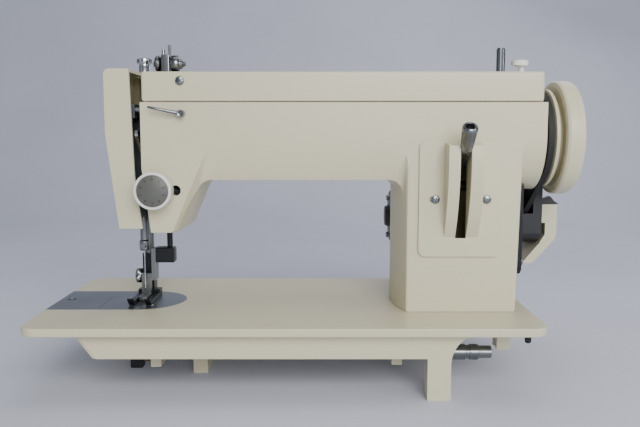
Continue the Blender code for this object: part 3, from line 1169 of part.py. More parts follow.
make_bed()
make_plates()
make_arm()
make_top_cover()
make_winder()
make_pretension()
make_face_cover()
make_cover_hinge()
make_rock_frame()
make_needle_bar()
make_walking_foot()
make_presser()
make_regulator()
make_lifter()
make_take_up()
make_shaft_and_wheel()
make_motor()
make_belt()
make_bracket()
make_guards()
make_stitch_plate()
make_stitch_lever()
make_dial()
make_thread_hook()
make_hook()
make_feed()
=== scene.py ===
import math

import bmesh
import bpy
from mathutils import Matrix, Vector


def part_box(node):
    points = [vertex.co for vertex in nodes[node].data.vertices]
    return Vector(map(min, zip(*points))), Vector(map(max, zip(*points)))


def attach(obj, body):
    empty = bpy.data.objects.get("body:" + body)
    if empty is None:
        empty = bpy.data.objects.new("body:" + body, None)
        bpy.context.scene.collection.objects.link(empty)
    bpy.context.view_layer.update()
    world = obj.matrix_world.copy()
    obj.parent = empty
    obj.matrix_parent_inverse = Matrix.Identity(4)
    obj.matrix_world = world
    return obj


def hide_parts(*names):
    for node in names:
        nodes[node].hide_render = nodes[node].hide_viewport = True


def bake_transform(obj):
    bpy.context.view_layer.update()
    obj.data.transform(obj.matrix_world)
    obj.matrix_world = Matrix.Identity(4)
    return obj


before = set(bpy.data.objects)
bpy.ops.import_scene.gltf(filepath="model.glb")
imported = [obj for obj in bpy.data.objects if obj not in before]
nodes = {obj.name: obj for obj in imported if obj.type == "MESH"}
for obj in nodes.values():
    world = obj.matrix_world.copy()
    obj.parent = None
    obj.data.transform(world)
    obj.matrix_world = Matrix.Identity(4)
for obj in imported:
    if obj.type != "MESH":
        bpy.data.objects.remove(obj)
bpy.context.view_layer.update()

# The studio. The machine stands on a sheet of pale paper that curves up behind it, under a wide
# soft lamp in front and above, with weaker lamps at both sides and behind to open the shadows.

PAPER_FRONT = -2.6
PAPER_BEND = 0.9
PAPER_RADIUS = 0.9
PAPER_STEPS = 24
PAPER_TOP = 2.6
PAPER_HALF_WIDTH = 3.0


def tone(red, green, blue):
    """A paint colour from its 0 to 255 shades, as the linear values that shaders use."""
    linear = []
    for shade in (red, green, blue):
        share = shade / 255
        linear.append(share / 12.92 if share <= 0.04045 else ((share + 0.055) / 1.055) ** 2.4)
    return (*linear, 1.0)


def lay_paper():
    """A sheet that lies flat, then curves up in a quarter circle and stands upright."""
    line = [(PAPER_FRONT, 0.0)]
    for step in range(PAPER_STEPS + 1):
        angle = math.radians(90 * step / PAPER_STEPS)
        line.append((PAPER_BEND + PAPER_RADIUS * math.sin(angle), PAPER_RADIUS * (1 - math.cos(angle))))
    line.append((PAPER_BEND + PAPER_RADIUS, PAPER_TOP))
    sheet = bmesh.new()
    left = [sheet.verts.new((-PAPER_HALF_WIDTH, y, z)) for y, z in line]
    right = [sheet.verts.new((PAPER_HALF_WIDTH, y, z)) for y, z in line]
    for i in range(len(line) - 1):
        sheet.faces.new((left[i], right[i], right[i + 1], left[i + 1]))
    mesh = bpy.data.meshes.new("paper")
    sheet.to_mesh(mesh)
    sheet.free()
    mesh.shade_smooth()
    paper = bpy.data.objects.new("paper", mesh)
    bpy.context.scene.collection.objects.link(paper)
    return paper


paper = lay_paper()
paper_finish = bpy.data.materials.new("pale_paper")
paper_finish.use_nodes = True
tree = paper_finish.node_tree
shader = tree.nodes["Principled BSDF"]
shader.inputs["Roughness"].default_value = 0.85
shader.inputs["Specular IOR Level"].default_value = 0.2
place = tree.nodes.new("ShaderNodeTexCoord")
cloudy = tree.nodes.new("ShaderNodeTexNoise")
cloudy.inputs["Scale"].default_value = 3.0
cloudy.inputs["Detail"].default_value = 3.0
shades = tree.nodes.new("ShaderNodeMix")
shades.data_type = "RGBA"
shades.inputs["A"].default_value = tone(196, 198, 211)
shades.inputs["B"].default_value = tone(214, 217, 232)
tree.links.new(place.outputs["Object"], cloudy.inputs["Vector"])
tree.links.new(cloudy.outputs["Fac"], shades.inputs["Factor"])
tree.links.new(shades.outputs["Result"], shader.inputs["Base Color"])
paper.data.materials.append(paper_finish)

lit_point = Vector((0.0, 0.0, 0.12))
lamps = (  # name, place, width and power in watts
    ("key_lamp", (0.45, -1.9, 0.95), 1.2, 43.0),
    ("right_lamp", (1.5, -0.9, 0.7), 1.0, 8.0),
    ("left_lamp", (-1.5, -0.9, 0.7), 1.0, 1.2),
    ("top_lamp", (0.1, 0.1, 1.6), 1.2, 6.0),
    ("rear_lamp", (0.6, 1.3, 1.2), 1.0, 5.0),
)
for name, spot, width, power in lamps:
    lamp = bpy.data.lights.new(name, "AREA")
    lamp.size = width
    lamp.energy = power
    holder = bpy.data.objects.new(name, lamp)
    bpy.context.scene.collection.objects.link(holder)
    holder.location = spot
    holder.rotation_euler = (lit_point - Vector(spot)).to_track_quat("-Z", "Y").to_euler()

world = bpy.data.worlds.new("soft_daylight")
world.use_nodes = True
daylight = world.node_tree.nodes["Background"]
daylight.inputs["Color"].default_value = tone(226, 232, 242)
daylight.inputs["Strength"].default_value = 0.27
bpy.context.scene.world = world

camera = bpy.data.objects.new("camera", bpy.data.cameras.new("camera"))
bpy.context.scene.collection.objects.link(camera)
camera.data.lens = 40.31
camera.data.sensor_width = 36.0
camera.location = (0.0040, -0.5792, 0.1924)
camera.rotation_euler = (math.radians(83.61), 0.0, 0.0)
bpy.context.scene.camera = camera

# The bed, a flat iron casting, and the arm with its pillar and head, cast hollow in one piece.
# Both are ground, filled and stove enamelled in a warm cream that is thin and rubbed at the edges.


def build_uneven_finish():
    """Colour, roughness and height that wander over a surface, as paint, plating and grinding do."""
    group = bpy.data.node_groups.new("uneven_finish", "ShaderNodeTree")
    for name, kind, value in (
        ("Colour", "NodeSocketColor", None), ("Other Colour", "NodeSocketColor", None),
        ("Patch Scale", "NodeSocketFloat", 12.0), ("Grain Scale", "NodeSocketFloat", 900.0),
        ("Roughness", "NodeSocketFloat", 0.4), ("Roughness Spread", "NodeSocketFloat", 0.08),
    ):
        socket = group.interface.new_socket(name, in_out="INPUT", socket_type=kind)
        if value is not None:
            socket.default_value = value
    group.interface.new_socket("Colour", in_out="OUTPUT", socket_type="NodeSocketColor")
    group.interface.new_socket("Roughness", in_out="OUTPUT", socket_type="NodeSocketFloat")
    group.interface.new_socket("Height", in_out="OUTPUT", socket_type="NodeSocketFloat")
    node, link = group.nodes.new, group.links.new
    given, given_out = node("NodeGroupInput"), node("NodeGroupOutput")
    where = node("ShaderNodeTexCoord")
    patches, grain = node("ShaderNodeTexNoise"), node("ShaderNodeTexNoise")
    patches.inputs["Detail"].default_value = 5.0
    grain.inputs["Detail"].default_value = 2.0
    link(where.outputs["Object"], patches.inputs["Vector"])
    link(where.outputs["Object"], grain.inputs["Vector"])
    link(given.outputs["Patch Scale"], patches.inputs["Scale"])
    link(given.outputs["Grain Scale"], grain.inputs["Scale"])
    mixed = node("ShaderNodeMix")
    mixed.data_type = "RGBA"
    link(patches.outputs["Fac"], mixed.inputs["Factor"])
    link(given.outputs["Colour"], mixed.inputs["A"])
    link(given.outputs["Other Colour"], mixed.inputs["B"])
    centred, spread = node("ShaderNodeMath"), node("ShaderNodeMath")
    centred.operation = "SUBTRACT"
    centred.inputs[1].default_value = 0.5
    spread.operation = "MULTIPLY_ADD"
    link(patches.outputs["Fac"], centred.inputs[0])
    link(centred.outputs[0], spread.inputs[0])
    link(given.outputs["Roughness Spread"], spread.inputs[1])
    link(given.outputs["Roughness"], spread.inputs[2])
    link(mixed.outputs["Result"], given_out.inputs["Colour"])
    link(spread.outputs[0], given_out.inputs["Roughness"])
    link(grain.outputs["Fac"], given_out.inputs["Height"])
    return group


def build_edge_rub():
    """A mask that is 1 along the outer edges, broken up by noise, where handling wears a finish."""
    group = bpy.data.node_groups.new("edge_rub", "ShaderNodeTree")
    for name, value in (("Width", 0.0006), ("Patch Scale", 160.0)):
        group.interface.new_socket(name, in_out="INPUT", socket_type="NodeSocketFloat").default_value = value
    group.interface.new_socket("Mask", in_out="OUTPUT", socket_type="NodeSocketFloat")
    node, link = group.nodes.new, group.links.new
    given, given_out = node("NodeGroupInput"), node("NodeGroupOutput")
    rounded, shape = node("ShaderNodeBevel"), node("ShaderNodeNewGeometry")
    turn = node("ShaderNodeVectorMath")
    rounded.samples = 4
    turn.operation = "DOT_PRODUCT"
    link(given.outputs["Width"], rounded.inputs["Radius"])
    link(rounded.outputs["Normal"], turn.inputs[0])
    link(shape.outputs["Normal"], turn.inputs[1])
    edge = node("ShaderNodeMapRange")
    edge.inputs["From Min"].default_value = 0.995
    edge.inputs["From Max"].default_value = 0.90
    link(turn.outputs["Value"], edge.inputs["Value"])
    where, patches = node("ShaderNodeTexCoord"), node("ShaderNodeTexNoise")
    broken = node("ShaderNodeMapRange")
    broken.inputs["From Min"].default_value = 0.42
    broken.inputs["From Max"].default_value = 0.62
    link(where.outputs["Object"], patches.inputs["Vector"])
    link(given.outputs["Patch Scale"], patches.inputs["Scale"])
    link(patches.outputs["Fac"], broken.inputs["Value"])
    both = node("ShaderNodeMath")
    both.operation = "MULTIPLY"
    link(edge.outputs["Result"], both.inputs[0])
    link(broken.outputs["Result"], both.inputs[1])
    link(both.outputs[0], given_out.inputs["Mask"])
    return group


uneven_finish = build_uneven_finish()
edge_rub = build_edge_rub()


def make_material(
    name, colour, other, rubbed, rub_share, roughness, spread, metallic, patch_scale, grain_scale,
    grain_height
):
    """A finish on metal, plastic or rubber: two shades in patches, worn edges and a fine grain."""
    material = bpy.data.materials.new(name)
    material.use_nodes = True
    tree = material.node_tree
    shader = tree.nodes["Principled BSDF"]
    shader.inputs["Metallic"].default_value = metallic
    finish, rub = tree.nodes.new("ShaderNodeGroup"), tree.nodes.new("ShaderNodeGroup")
    finish.node_tree, rub.node_tree = uneven_finish, edge_rub
    finish.inputs["Colour"].default_value = tone(*colour)
    finish.inputs["Other Colour"].default_value = tone(*other)
    finish.inputs["Patch Scale"].default_value = patch_scale
    finish.inputs["Grain Scale"].default_value = grain_scale
    finish.inputs["Roughness"].default_value = roughness
    finish.inputs["Roughness Spread"].default_value = spread
    share, worn = tree.nodes.new("ShaderNodeMath"), tree.nodes.new("ShaderNodeMix")
    share.operation = "MULTIPLY"
    share.inputs[1].default_value = rub_share
    worn.data_type = "RGBA"
    worn.inputs["B"].default_value = tone(*rubbed)
    bump = tree.nodes.new("ShaderNodeBump")
    bump.inputs["Strength"].default_value = 1.0
    bump.inputs["Distance"].default_value = grain_height
    link = tree.links.new
    link(rub.outputs["Mask"], share.inputs[0])
    link(share.outputs[0], worn.inputs["Factor"])
    link(finish.outputs["Colour"], worn.inputs["A"])
    link(worn.outputs["Result"], shader.inputs["Base Color"])
    link(finish.outputs["Roughness"], shader.inputs["Roughness"])
    link(finish.outputs["Height"], bump.inputs["Height"])
    link(bump.outputs["Normal"], shader.inputs["Normal"])
    return material


def dress(name, material, edge, segments=2):
    """Gives a node its finish and breaks its edges, after joining its facets into whole faces."""
    piece = nodes[name]
    piece.data.materials.clear()
    piece.data.materials.append(material)
    piece.data.shade_smooth()
    weld = piece.modifiers.new("one_skin", "WELD")
    weld.merge_threshold = 0.00001
    flats = piece.modifiers.new("whole_faces", "DECIMATE")
    flats.decimate_type = "DISSOLVE"
    flats.angle_limit = math.radians(0.6)
    round_over = piece.modifiers.new("broken_edges", "BEVEL")
    round_over.width = edge
    round_over.segments = segments
    round_over.limit_method = "ANGLE"
    round_over.angle_limit = math.radians(28)
    round_over.use_clamp_overlap = True
    round_over.miter_outer = "MITER_ARC"
    even = piece.modifiers.new("even_shading", "WEIGHTED_NORMAL")
    even.keep_sharp = True


cream_enamel = make_material(
    "cream_enamel", (214, 206, 174), (205, 199, 171), (228, 222, 200), rub_share=0.5, roughness=0.36,
    spread=0.10, metallic=0.0, patch_scale=9.0, grain_scale=1400.0, grain_height=0.00002)

for name in ("bed_casting", "arm_casting", "top_cover", "face_cover", "stitch_plate", "belt_guard_cap"):
    dress(name, cream_enamel, edge=0.0009, segments=3)
dress("hand_wheel", cream_enamel, edge=0.0005)

# The needle plate and the slide plate, let into the bed over the hook and the bobbin. Both are
# spring steel, ground flat and blued, and the slide plate draws out to the left.

plate_steel = make_material(
    "plate_steel", (134, 140, 144), (116, 123, 129), (170, 176, 182), rub_share=0.7, roughness=0.34,
    spread=0.16, metallic=0.85, patch_scale=30.0, grain_scale=2600.0, grain_height=0.00001)
for name in ("needle_plate", "slide_plate"):
    dress(name, plate_steel, edge=0.0003)

# Bright work: knobs, discs and levers are turned or pressed in steel, polished and chromed. The
# oldest of it has dulled to a darker grey.

chrome = make_material(
    "chrome", (206, 208, 212), (180, 183, 188), (236, 237, 240), rub_share=0.5, roughness=0.18,
    spread=0.14, metallic=1.0, patch_scale=60.0, grain_scale=1800.0, grain_height=0.000004)
dull_chrome = make_material(
    "dull_chrome", (142, 145, 148), (112, 115, 119), (206, 208, 210), rub_share=0.7, roughness=0.26,
    spread=0.16, metallic=1.0, patch_scale=90.0, grain_scale=2200.0, grain_height=0.000008)
for name in ("needle", "take_up_lever", "stop_motion_knob", "tension_discs", "bobbin_case"):
    dress(name, chrome, edge=0.00025)
for name in ("pretension_post", "shaft_collar"):
    dress(name, dull_chrome, edge=0.0004)

# Shafts, bars and pins of bright ground steel, and the hook, the feed dog and the walking foot,
# which are hardened and polished. All are left bare and lightly oiled.

ground_steel = make_material(
    "ground_steel", (150, 153, 154), (124, 127, 129), (206, 208, 210), rub_share=0.5, roughness=0.32,
    spread=0.16, metallic=1.0, patch_scale=80.0, grain_scale=2400.0, grain_height=0.000006)
for name in (
    "cover_hinge", "rock_pin", "needle_bar", "needle_clamp", "presser_bar", "presser_lifter", "main_shaft",
    "motor_pulley", "stitch_lever", "tension_stud", "shuttle_hook", "hook_shaft", "feed_dog",
    "feed_shaft", "walking_foot",
):
    dress(name, ground_steel, edge=0.00025)

# Small iron castings of the mechanism: the frame that the needle bar slides in, the presser's
# guide and the needle's crank. They are machined where they bear and grey elsewhere.

grey_casting = make_material(
    "grey_casting", (84, 92, 98), (64, 72, 78), (150, 154, 158), rub_share=0.7, roughness=0.46,
    spread=0.18, metallic=0.6, patch_scale=70.0, grain_scale=1500.0, grain_height=0.00003)
for name in ("needle_bar_frame", "presser_guide", "needle_crank"):
    dress(name, grey_casting, edge=0.0004)

# The presser foot, the walking bar with its link and the feed crank, blacked by case hardening,
# and the motor's bracket, which is painted black.

blacked_steel = make_material(
    "blacked_steel", (40, 42, 45), (30, 32, 35), (110, 112, 116), rub_share=0.6, roughness=0.36,
    spread=0.18, metallic=0.55, patch_scale=90.0, grain_scale=1900.0, grain_height=0.00001)
for name in ("walking_bar", "link_block", "presser_foot", "motor_bracket", "feed_crank"):
    dress(name, blacked_steel, edge=0.0003)

# The feed shaft's bush, pressed from sintered bronze that holds its own oil. It sits on the shaft
# below the bed.

bronze = make_material(
    "bronze", (150, 118, 78), (128, 98, 64), (190, 160, 112), rub_share=0.6, roughness=0.38,
    spread=0.18, metallic=1.0, patch_scale=120.0, grain_scale=2000.0, grain_height=0.00001)
dress("feed_bush", bronze, edge=0.0002)

# The slotted screws. Each is turned from bright steel with a low domed head, and its slot is sawn
# across the head, so no two slots stand at the same angle.


def turn_profile(profile, steps=48, knurled=(), depth=0.0003, closed=False):
    """A mesh turned about Z from (radius, height) points; the rings listed in knurled have teeth."""
    work = bmesh.new()
    rings = []
    for i, (radius, height) in enumerate(profile):
        if radius == 0:
            rings.append([work.verts.new((0, 0, height))])
            continue
        line = []
        for step in range(steps):
            angle = math.tau * step / steps
            reach = radius - depth if i in knurled and step % 2 else radius
            line.append(work.verts.new((reach * math.cos(angle), reach * math.sin(angle), height)))
        rings.append(line)
    pairs = list(zip(rings, rings[1:]))
    if closed:
        pairs.append((rings[-1], rings[0]))
    for first, second in pairs:
        for step in range(steps):
            after = (step + 1) % steps
            corners = [first[step % len(first)], first[after % len(first)]]
            corners += [second[after % len(second)], second[step % len(second)]]
            work.faces.new(list(dict.fromkeys(corners)))
    bmesh.ops.recalc_face_normals(work, faces=work.faces)
    mesh = bpy.data.meshes.new("turned")
    work.to_mesh(mesh)
    work.free()
    return mesh


def make_block(low, high):
    """A box between two corners."""
    work = bmesh.new()
    size = Vector(high) - Vector(low)
    middle = (Vector(high) + Vector(low)) / 2
    bmesh.ops.create_cube(work, size=1.0, matrix=Matrix.Translation(middle) @ Matrix.Diagonal((*size, 1.0)))
    mesh = bpy.data.meshes.new("block")
    work.to_mesh(mesh)
    work.free()
    return mesh


def saw_out(mesh, tool):
    """The first mesh with the second cut out of it."""
    blank = bpy.data.objects.new("blank", mesh)
    saw = bpy.data.objects.new("saw", tool)
    for item in (blank, saw):
        bpy.context.scene.collection.objects.link(item)
    kerf = blank.modifiers.new("kerf", "BOOLEAN")
    kerf.operation = "DIFFERENCE"
    kerf.solver = "EXACT"
    kerf.object = saw
    shapes = bpy.context.evaluated_depsgraph_get()
    result = bpy.data.meshes.new_from_object(blank.evaluated_get(shapes))
    for item in (blank, saw):
        bpy.data.objects.remove(item)
    return result


def aim(direction, origin, turn=0.0):
    """Stands a mesh that was made along Z on an origin, along a direction."""
    along = Vector(direction).to_track_quat("Z", "Y").to_matrix().to_4x4()
    return Matrix.Translation(origin) @ along @ Matrix.Rotation(math.radians(turn), 4, "Z")


def add_piece(name, mesh, material, body, replaced=None, crease=32):
    """Makes a piece of a mesh and rides it on a body, if it is given one."""
    mesh.materials.clear()
    mesh.materials.append(material)
    mesh.shade_smooth()
    mesh.set_sharp_from_angle(angle=math.radians(crease))
    piece = bpy.data.objects.new(name, mesh)
    bpy.context.scene.collection.objects.link(piece)
    if body:
        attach(piece, body)
    if replaced:
        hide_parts(replaced)
    return piece


def corners(name):
    """The lowest and the highest corner of a node."""
    return [Vector(corner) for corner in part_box(name)]


def round_node(name, direction):
    """The near end of a round node whose axis runs along a direction, its radius and its length."""
    low, high = corners(name)
    along = Vector(direction)
    size = high - low
    length = abs(size.dot(along))
    radius = max(side for side, share in zip(size, along) if not share) / 2
    return (low + high) / 2 - along * length / 2, radius, length


SLOT_WIDTH = 0.0008
SLOT_DEPTH = 0.0009
SLOT_OVERRUN = 0.002
screws = (  # node, the way the head faces, the head's height and the slot's angle
    ("top_cover_screw", (0, -1, 0), 0.0018, 24), ("stitch_screw_left", (0, -1, 0), 0.0022, 70),
    ("stitch_screw_right", (0, -1, 0), 0.0022, -38), ("motor_screw_upper", (-1, 0, 0), 0.0022, 15),
    ("motor_screw_lower", (-1, 0, 0), 0.0022, 62), ("bracket_screw", (1, 0, 0), 0.0020, -20),
    ("plate_screw", (0, 0, 1), 0.0014, 35),
)
for name, out, head_height, slot_turn in screws:
    origin, radius, length = round_node(name, out)
    profile = [
        (0, length), (radius * 0.6, length - 0.0001), (radius * 0.86, length - 0.0004),
        (radius * 0.98, length - 0.0009), (radius, length - 0.0013), (radius * 0.97, length - head_height),
        (radius * 0.5, length - head_height), (radius * 0.5, 0), (0, 0),
    ]
    slot = make_block(
        (-radius - SLOT_OVERRUN, -SLOT_WIDTH / 2, length - SLOT_DEPTH),
        (radius + SLOT_OVERRUN, SLOT_WIDTH / 2, length + SLOT_OVERRUN))
    screw = saw_out(turn_profile(profile, 32), slot)
    screw.transform(aim(out, origin, slot_turn))
    add_piece("slotted_" + name, screw, dull_chrome, "frame", name)

# The presser foot's screw, a thumb screw turned from steel with a knurled head, so that the foot
# can be clamped to its bar and changed by hand.

origin, radius, length = round_node("foot_screw", (-1, 0, 0))
profile = [
    (0, length), (radius * 0.8, length), (radius * 0.98, length - 0.0006), (radius * 0.98, 0.0007),
    (radius * 0.82, 0), (0, 0),
]
thumb_screw = turn_profile(profile, 56, knurled=(2, 3), depth=0.00045)
thumb_screw.transform(aim((-1, 0, 0), origin))
add_piece("foot_thumb_screw", thumb_screw, dull_chrome, "presser", "foot_screw", 50)

# The presser's pressure regulator, a screw cap turned from steel and chromed. It has a knurled
# rim on a smooth neck, which goes down into the arm.

origin, radius, length = round_node("presser_regulator", (0, 0, 1))
profile = [
    (0, length), (radius * 0.72, length), (radius * 0.80, length - 0.0003), (radius * 0.95, length - 0.0005),
    (radius, length - 0.0010), (radius, length - 0.0036), (radius * 0.93, length - 0.0043),
    (radius * 0.72, length - 0.0046), (radius * 0.72, length - 0.0062), (radius * 0.77, length - 0.0066),
    (radius * 0.77, 0), (0, 0),
]
regulator = turn_profile(profile, 64, knurled=(4, 5), depth=0.0003)
regulator.transform(Matrix.Translation(origin))
add_piece("regulator_cap", regulator, chrome, "regulator", "presser_regulator", 50)

# The small thread tension on top: two dished discs face to face on the stud, and the knurled nut
# that presses them together, all chromed and dulled by handling.

STUD_BORE = 0.0022
origin, radius, width = round_node("pretension_discs", (1, 0, 0))
profile = [
    (STUD_BORE, 0), (radius * 0.45, 0), (radius * 0.74, width * 0.10), (radius * 0.95, width * 0.32),
    (radius, width * 0.44), (radius * 0.96, width * 0.50), (radius, width * 0.56),
    (radius * 0.95, width * 0.68), (radius * 0.74, width * 0.90), (radius * 0.45, width), (STUD_BORE, width),
]
discs = turn_profile(profile, 48, closed=True)
discs.transform(aim((1, 0, 0), origin))
add_piece("pretension_disc_pair", discs, dull_chrome, "frame", "pretension_discs", 40)

origin, radius, width = round_node("pretension_nut", (1, 0, 0))
profile = [
    (STUD_BORE, 0), (radius * 0.86, 0), (radius * 0.99, 0.0007), (radius * 0.99, width * 0.56),
    (radius * 0.86, width * 0.68), (radius * 0.62, width * 0.74), (radius * 0.52, width * 0.96),
    (radius * 0.46, width), (STUD_BORE, width),
]
nut = turn_profile(profile, 44, knurled=(2, 3), depth=0.0006, closed=True)
nut.transform(aim((1, 0, 0), origin))
add_piece("pretension_thumb_nut", nut, dull_chrome, "pretension", "pretension_nut", 50)

# The bobbin winder's spindle, split down the middle so that its two halves spring against the
# bobbin, on the rubber tyred wheel that the hand wheel drives.

SPINDLE_RADIUS = 0.00345
SPLIT_HALF_WIDTH = 0.0012
SPLIT_FOOT = 0.0150
origin, tyre, height = round_node("winder_spindle", (0, 0, 1))
profile = [
    (0, height), (SPINDLE_RADIUS - 0.0009, height), (SPINDLE_RADIUS - 0.0002, height - 0.0008),
    (SPINDLE_RADIUS, height - 0.0018), (SPINDLE_RADIUS, 0.0072), (tyre - 0.0008, 0.0070),
    (tyre, 0.0060), (tyre, 0.0010), (tyre - 0.0008, 0), (0, 0),
]
split = make_block((-SPLIT_HALF_WIDTH, -tyre, SPLIT_FOOT), (SPLIT_HALF_WIDTH, tyre, height + 0.005))
spindle = saw_out(turn_profile(profile, 40), split)
spindle.transform(Matrix.Translation(origin))
add_piece("split_winder_spindle", spindle, dull_chrome, "winder", "winder_spindle")

# The thread guide, a tapered wire finger that springs from a small round boss on the arm's face.
# Both are steel, chromed and dulled by wear.

hook_low, hook_high = corners("thread_hook")
boss_place = Vector((hook_high.x - 0.0022, hook_high.y, hook_low.z + 0.0020))
profile = [
    (0, 0.0062), (0.0012, 0.0062), (0.0014, 0.0076), (0.0022, 0.0078), (0.0026, 0.0072), (0.0026, 0.0004),
    (0.0024, 0), (0, 0),
]
boss = turn_profile(profile, 28)
boss.transform(aim((0, -1, 0), boss_place))
add_piece("thread_guide_boss", boss, dull_chrome, "frame", "thread_hook")


def draw_taper(points, first, last, sides=14):
    """A round bar along points whose radius runs from first to last."""
    work = bmesh.new()
    rings = []
    for i, point in enumerate(points):
        along = points[min(i + 1, len(points) - 1)] - points[max(i - 1, 0)]
        facing = along.to_track_quat("Z", "Y").to_matrix()
        radius = first + (last - first) * i / (len(points) - 1)
        line = []
        for side in range(sides):
            angle = math.tau * side / sides
            offset = Vector((radius * math.cos(angle), radius * math.sin(angle), 0))
            line.append(work.verts.new(point + facing @ offset))
        rings.append(line)
    for a, b in zip(rings, rings[1:]):
        for side in range(sides):
            after = (side + 1) % sides
            work.faces.new((a[side], a[after], b[after], b[side]))
    work.faces.new(rings[0])
    work.faces.new(rings[-1])
    bmesh.ops.recalc_face_normals(work, faces=work.faces)
    mesh = bpy.data.meshes.new("taper")
    work.to_mesh(mesh)
    work.free()
    return mesh


finger = [boss_place + Vector(step) for step in (
    (0.0, -0.0040, 0.0), (-0.0030, -0.0046, 0.0004), (-0.0090, -0.0058, 0.0015), (-0.0160, -0.0070, 0.0029),
    (-0.0222, -0.0078, 0.0042), (-0.0238, -0.0072, 0.0045),
)]
add_piece("thread_guide_finger", draw_taper(finger, 0.0016, 0.0008), dull_chrome, "frame")

# The presser's spring, wound from hard drawn wire. Its foot sits on the presser's guide and its top under
# the arm's boss.
# On the machine it closes up as the presser rises; here it is a fixed coil that rides on no body.

WIRE_RADIUS = 0.0007
SPRING_TURNS = 7
STEPS_A_TURN = 20
origin, radius, height = round_node("presser_spring", (0, 0, 1))
coil_radius = radius - WIRE_RADIUS
coil_steps = SPRING_TURNS * STEPS_A_TURN
coil = []
for step in range(coil_steps + 1):
    angle = math.tau * step / STEPS_A_TURN
    rise = WIRE_RADIUS + step / coil_steps * (height - 2 * WIRE_RADIUS)
    coil.append(origin + Vector((coil_radius * math.cos(angle), coil_radius * math.sin(angle), rise)))
spring = add_piece(
    "presser_coil", draw_taper(coil, WIRE_RADIUS, WIRE_RADIUS, 10), ground_steel, None,
    "presser_spring")
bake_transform(spring)

# The stitch lever's knob, turned from steel and chromed, knurled round its side and drilled in its
# end. It is screwed on to the lever.

KNOB_HOLE_DEPTH = 0.0050
knob_low, knob_high = corners("stitch_lever_knob")
radius = (knob_high.x - knob_low.x) / 2
knob_base = Vector(((knob_low.x + knob_high.x) / 2, knob_high.y - 0.0011, knob_low.z + 0.0004))
knob_tip = Vector((knob_base.x, knob_low.y + 0.0032, knob_high.z - 0.0019))
length = (knob_tip - knob_base).length
profile = [
    (0, length - KNOB_HOLE_DEPTH), (radius * 0.50, length - KNOB_HOLE_DEPTH),
    (radius * 0.56, length - 0.0006), (radius * 0.74, length), (radius * 0.93, length - 0.0009),
    (radius * 0.97, length - 0.0026), (radius * 0.93, length - 0.0040), (radius * 0.84, length * 0.42),
    (radius * 0.70, 0.0012), (radius * 0.60, 0), (0, 0),
]
knob = turn_profile(profile, 60, knurled=(6, 7), depth=0.0003)
knob.transform(aim(knob_tip - knob_base, knob_base))
add_piece("knurled_stitch_knob", knob, dull_chrome, "stitch", "stitch_lever_knob", 55)

# The motor's housing and the belt's inner guard, moulded in black with a fine satin texture. The
# guard has a small pointed lip that keeps thread off the belt.

black_plastic = make_material(
    "black_plastic", (34, 34, 37), (27, 27, 30), (74, 74, 78), rub_share=0.4, roughness=0.42,
    spread=0.12, metallic=0.0, patch_scale=26.0, grain_scale=1300.0, grain_height=0.00003)
for name in ("motor_housing", "belt_guard"):
    dress(name, black_plastic, edge=0.0006)


def press_sheet(outline, low_y, high_y):
    """A flat piece with an outline of (x, z) points, between two y values."""
    work = bmesh.new()
    front = [work.verts.new((x, low_y, z)) for x, z in outline]
    back = [work.verts.new((x, high_y, z)) for x, z in outline]
    work.faces.new(front)
    work.faces.new(list(reversed(back)))
    for i in range(len(outline)):
        after = (i + 1) % len(outline)
        work.faces.new((front[i], front[after], back[after], back[i]))
    bmesh.ops.recalc_face_normals(work, faces=work.faces)
    bmesh.ops.bevel(
        work, geom=list(work.edges), offset=0.0003, segments=2, affect="EDGES", clamp_overlap=True)
    mesh = bpy.data.meshes.new("sheet")
    work.to_mesh(mesh)
    work.free()
    return mesh


LIP_THICKNESS = 0.006
cap_low, cap_high = corners("belt_guard_cap")
lip_outline = [
    (cap_high.x - 0.0135, cap_high.z + 0.0002), (cap_high.x + 0.0016, cap_high.z + 0.0002),
    (cap_high.x - 0.0026, cap_high.z + 0.0030), (cap_high.x - 0.0062, cap_high.z + 0.0072),
    (cap_high.x - 0.0135, cap_high.z + 0.0046),
]
lip = press_sheet(lip_outline, cap_low.y, cap_low.y + LIP_THICKNESS)
add_piece("guard_lip", lip, black_plastic, "frame")

# The top cover's lower edge, rolled into a fine bead where it closes on the arm and enamelled
# with the cover.

BEAD_RADIUS = 0.0008
BEAD_END_GAP = 0.002
BEAD_STEPS = 40
cover_low, cover_high = corners("top_cover")
bead_length = cover_high.x - cover_low.x - 2 * BEAD_END_GAP
bead_start = cover_low + Vector((BEAD_END_GAP, 0.0004, 0.0012))
bead_points = [
    bead_start + Vector((bead_length * step / BEAD_STEPS, 0, 0)) for step in range(BEAD_STEPS + 1)]
bead = draw_taper(bead_points, BEAD_RADIUS, BEAD_RADIUS, 12)
add_piece("cover_bead", bead, cream_enamel, "frame")

# The dial of the upper thread tension, moulded in glossy white with a grey face let into it. Its
# marks and numbers are printed on the face.

white_plastic = make_material(
    "white_plastic", (232, 233, 226), (224, 225, 217), (240, 240, 236), rub_share=0.3, roughness=0.30,
    spread=0.08, metallic=0.0, patch_scale=30.0, grain_scale=1500.0, grain_height=0.00001)
dress("winder_stop", white_plastic, edge=0.0003)
dial_grey = make_material(
    "dial_grey", (96, 97, 90), (88, 89, 83), (130, 131, 126), rub_share=0.3, roughness=0.40,
    spread=0.12, metallic=0.1, patch_scale=60.0, grain_scale=1600.0, grain_height=0.000006)
print_black = make_material(
    "print_black", (52, 53, 52), (44, 45, 44), (70, 70, 70), rub_share=0.2, roughness=0.5,
    spread=0.1, metallic=0.0, patch_scale=80.0, grain_scale=1600.0, grain_height=0.000002)

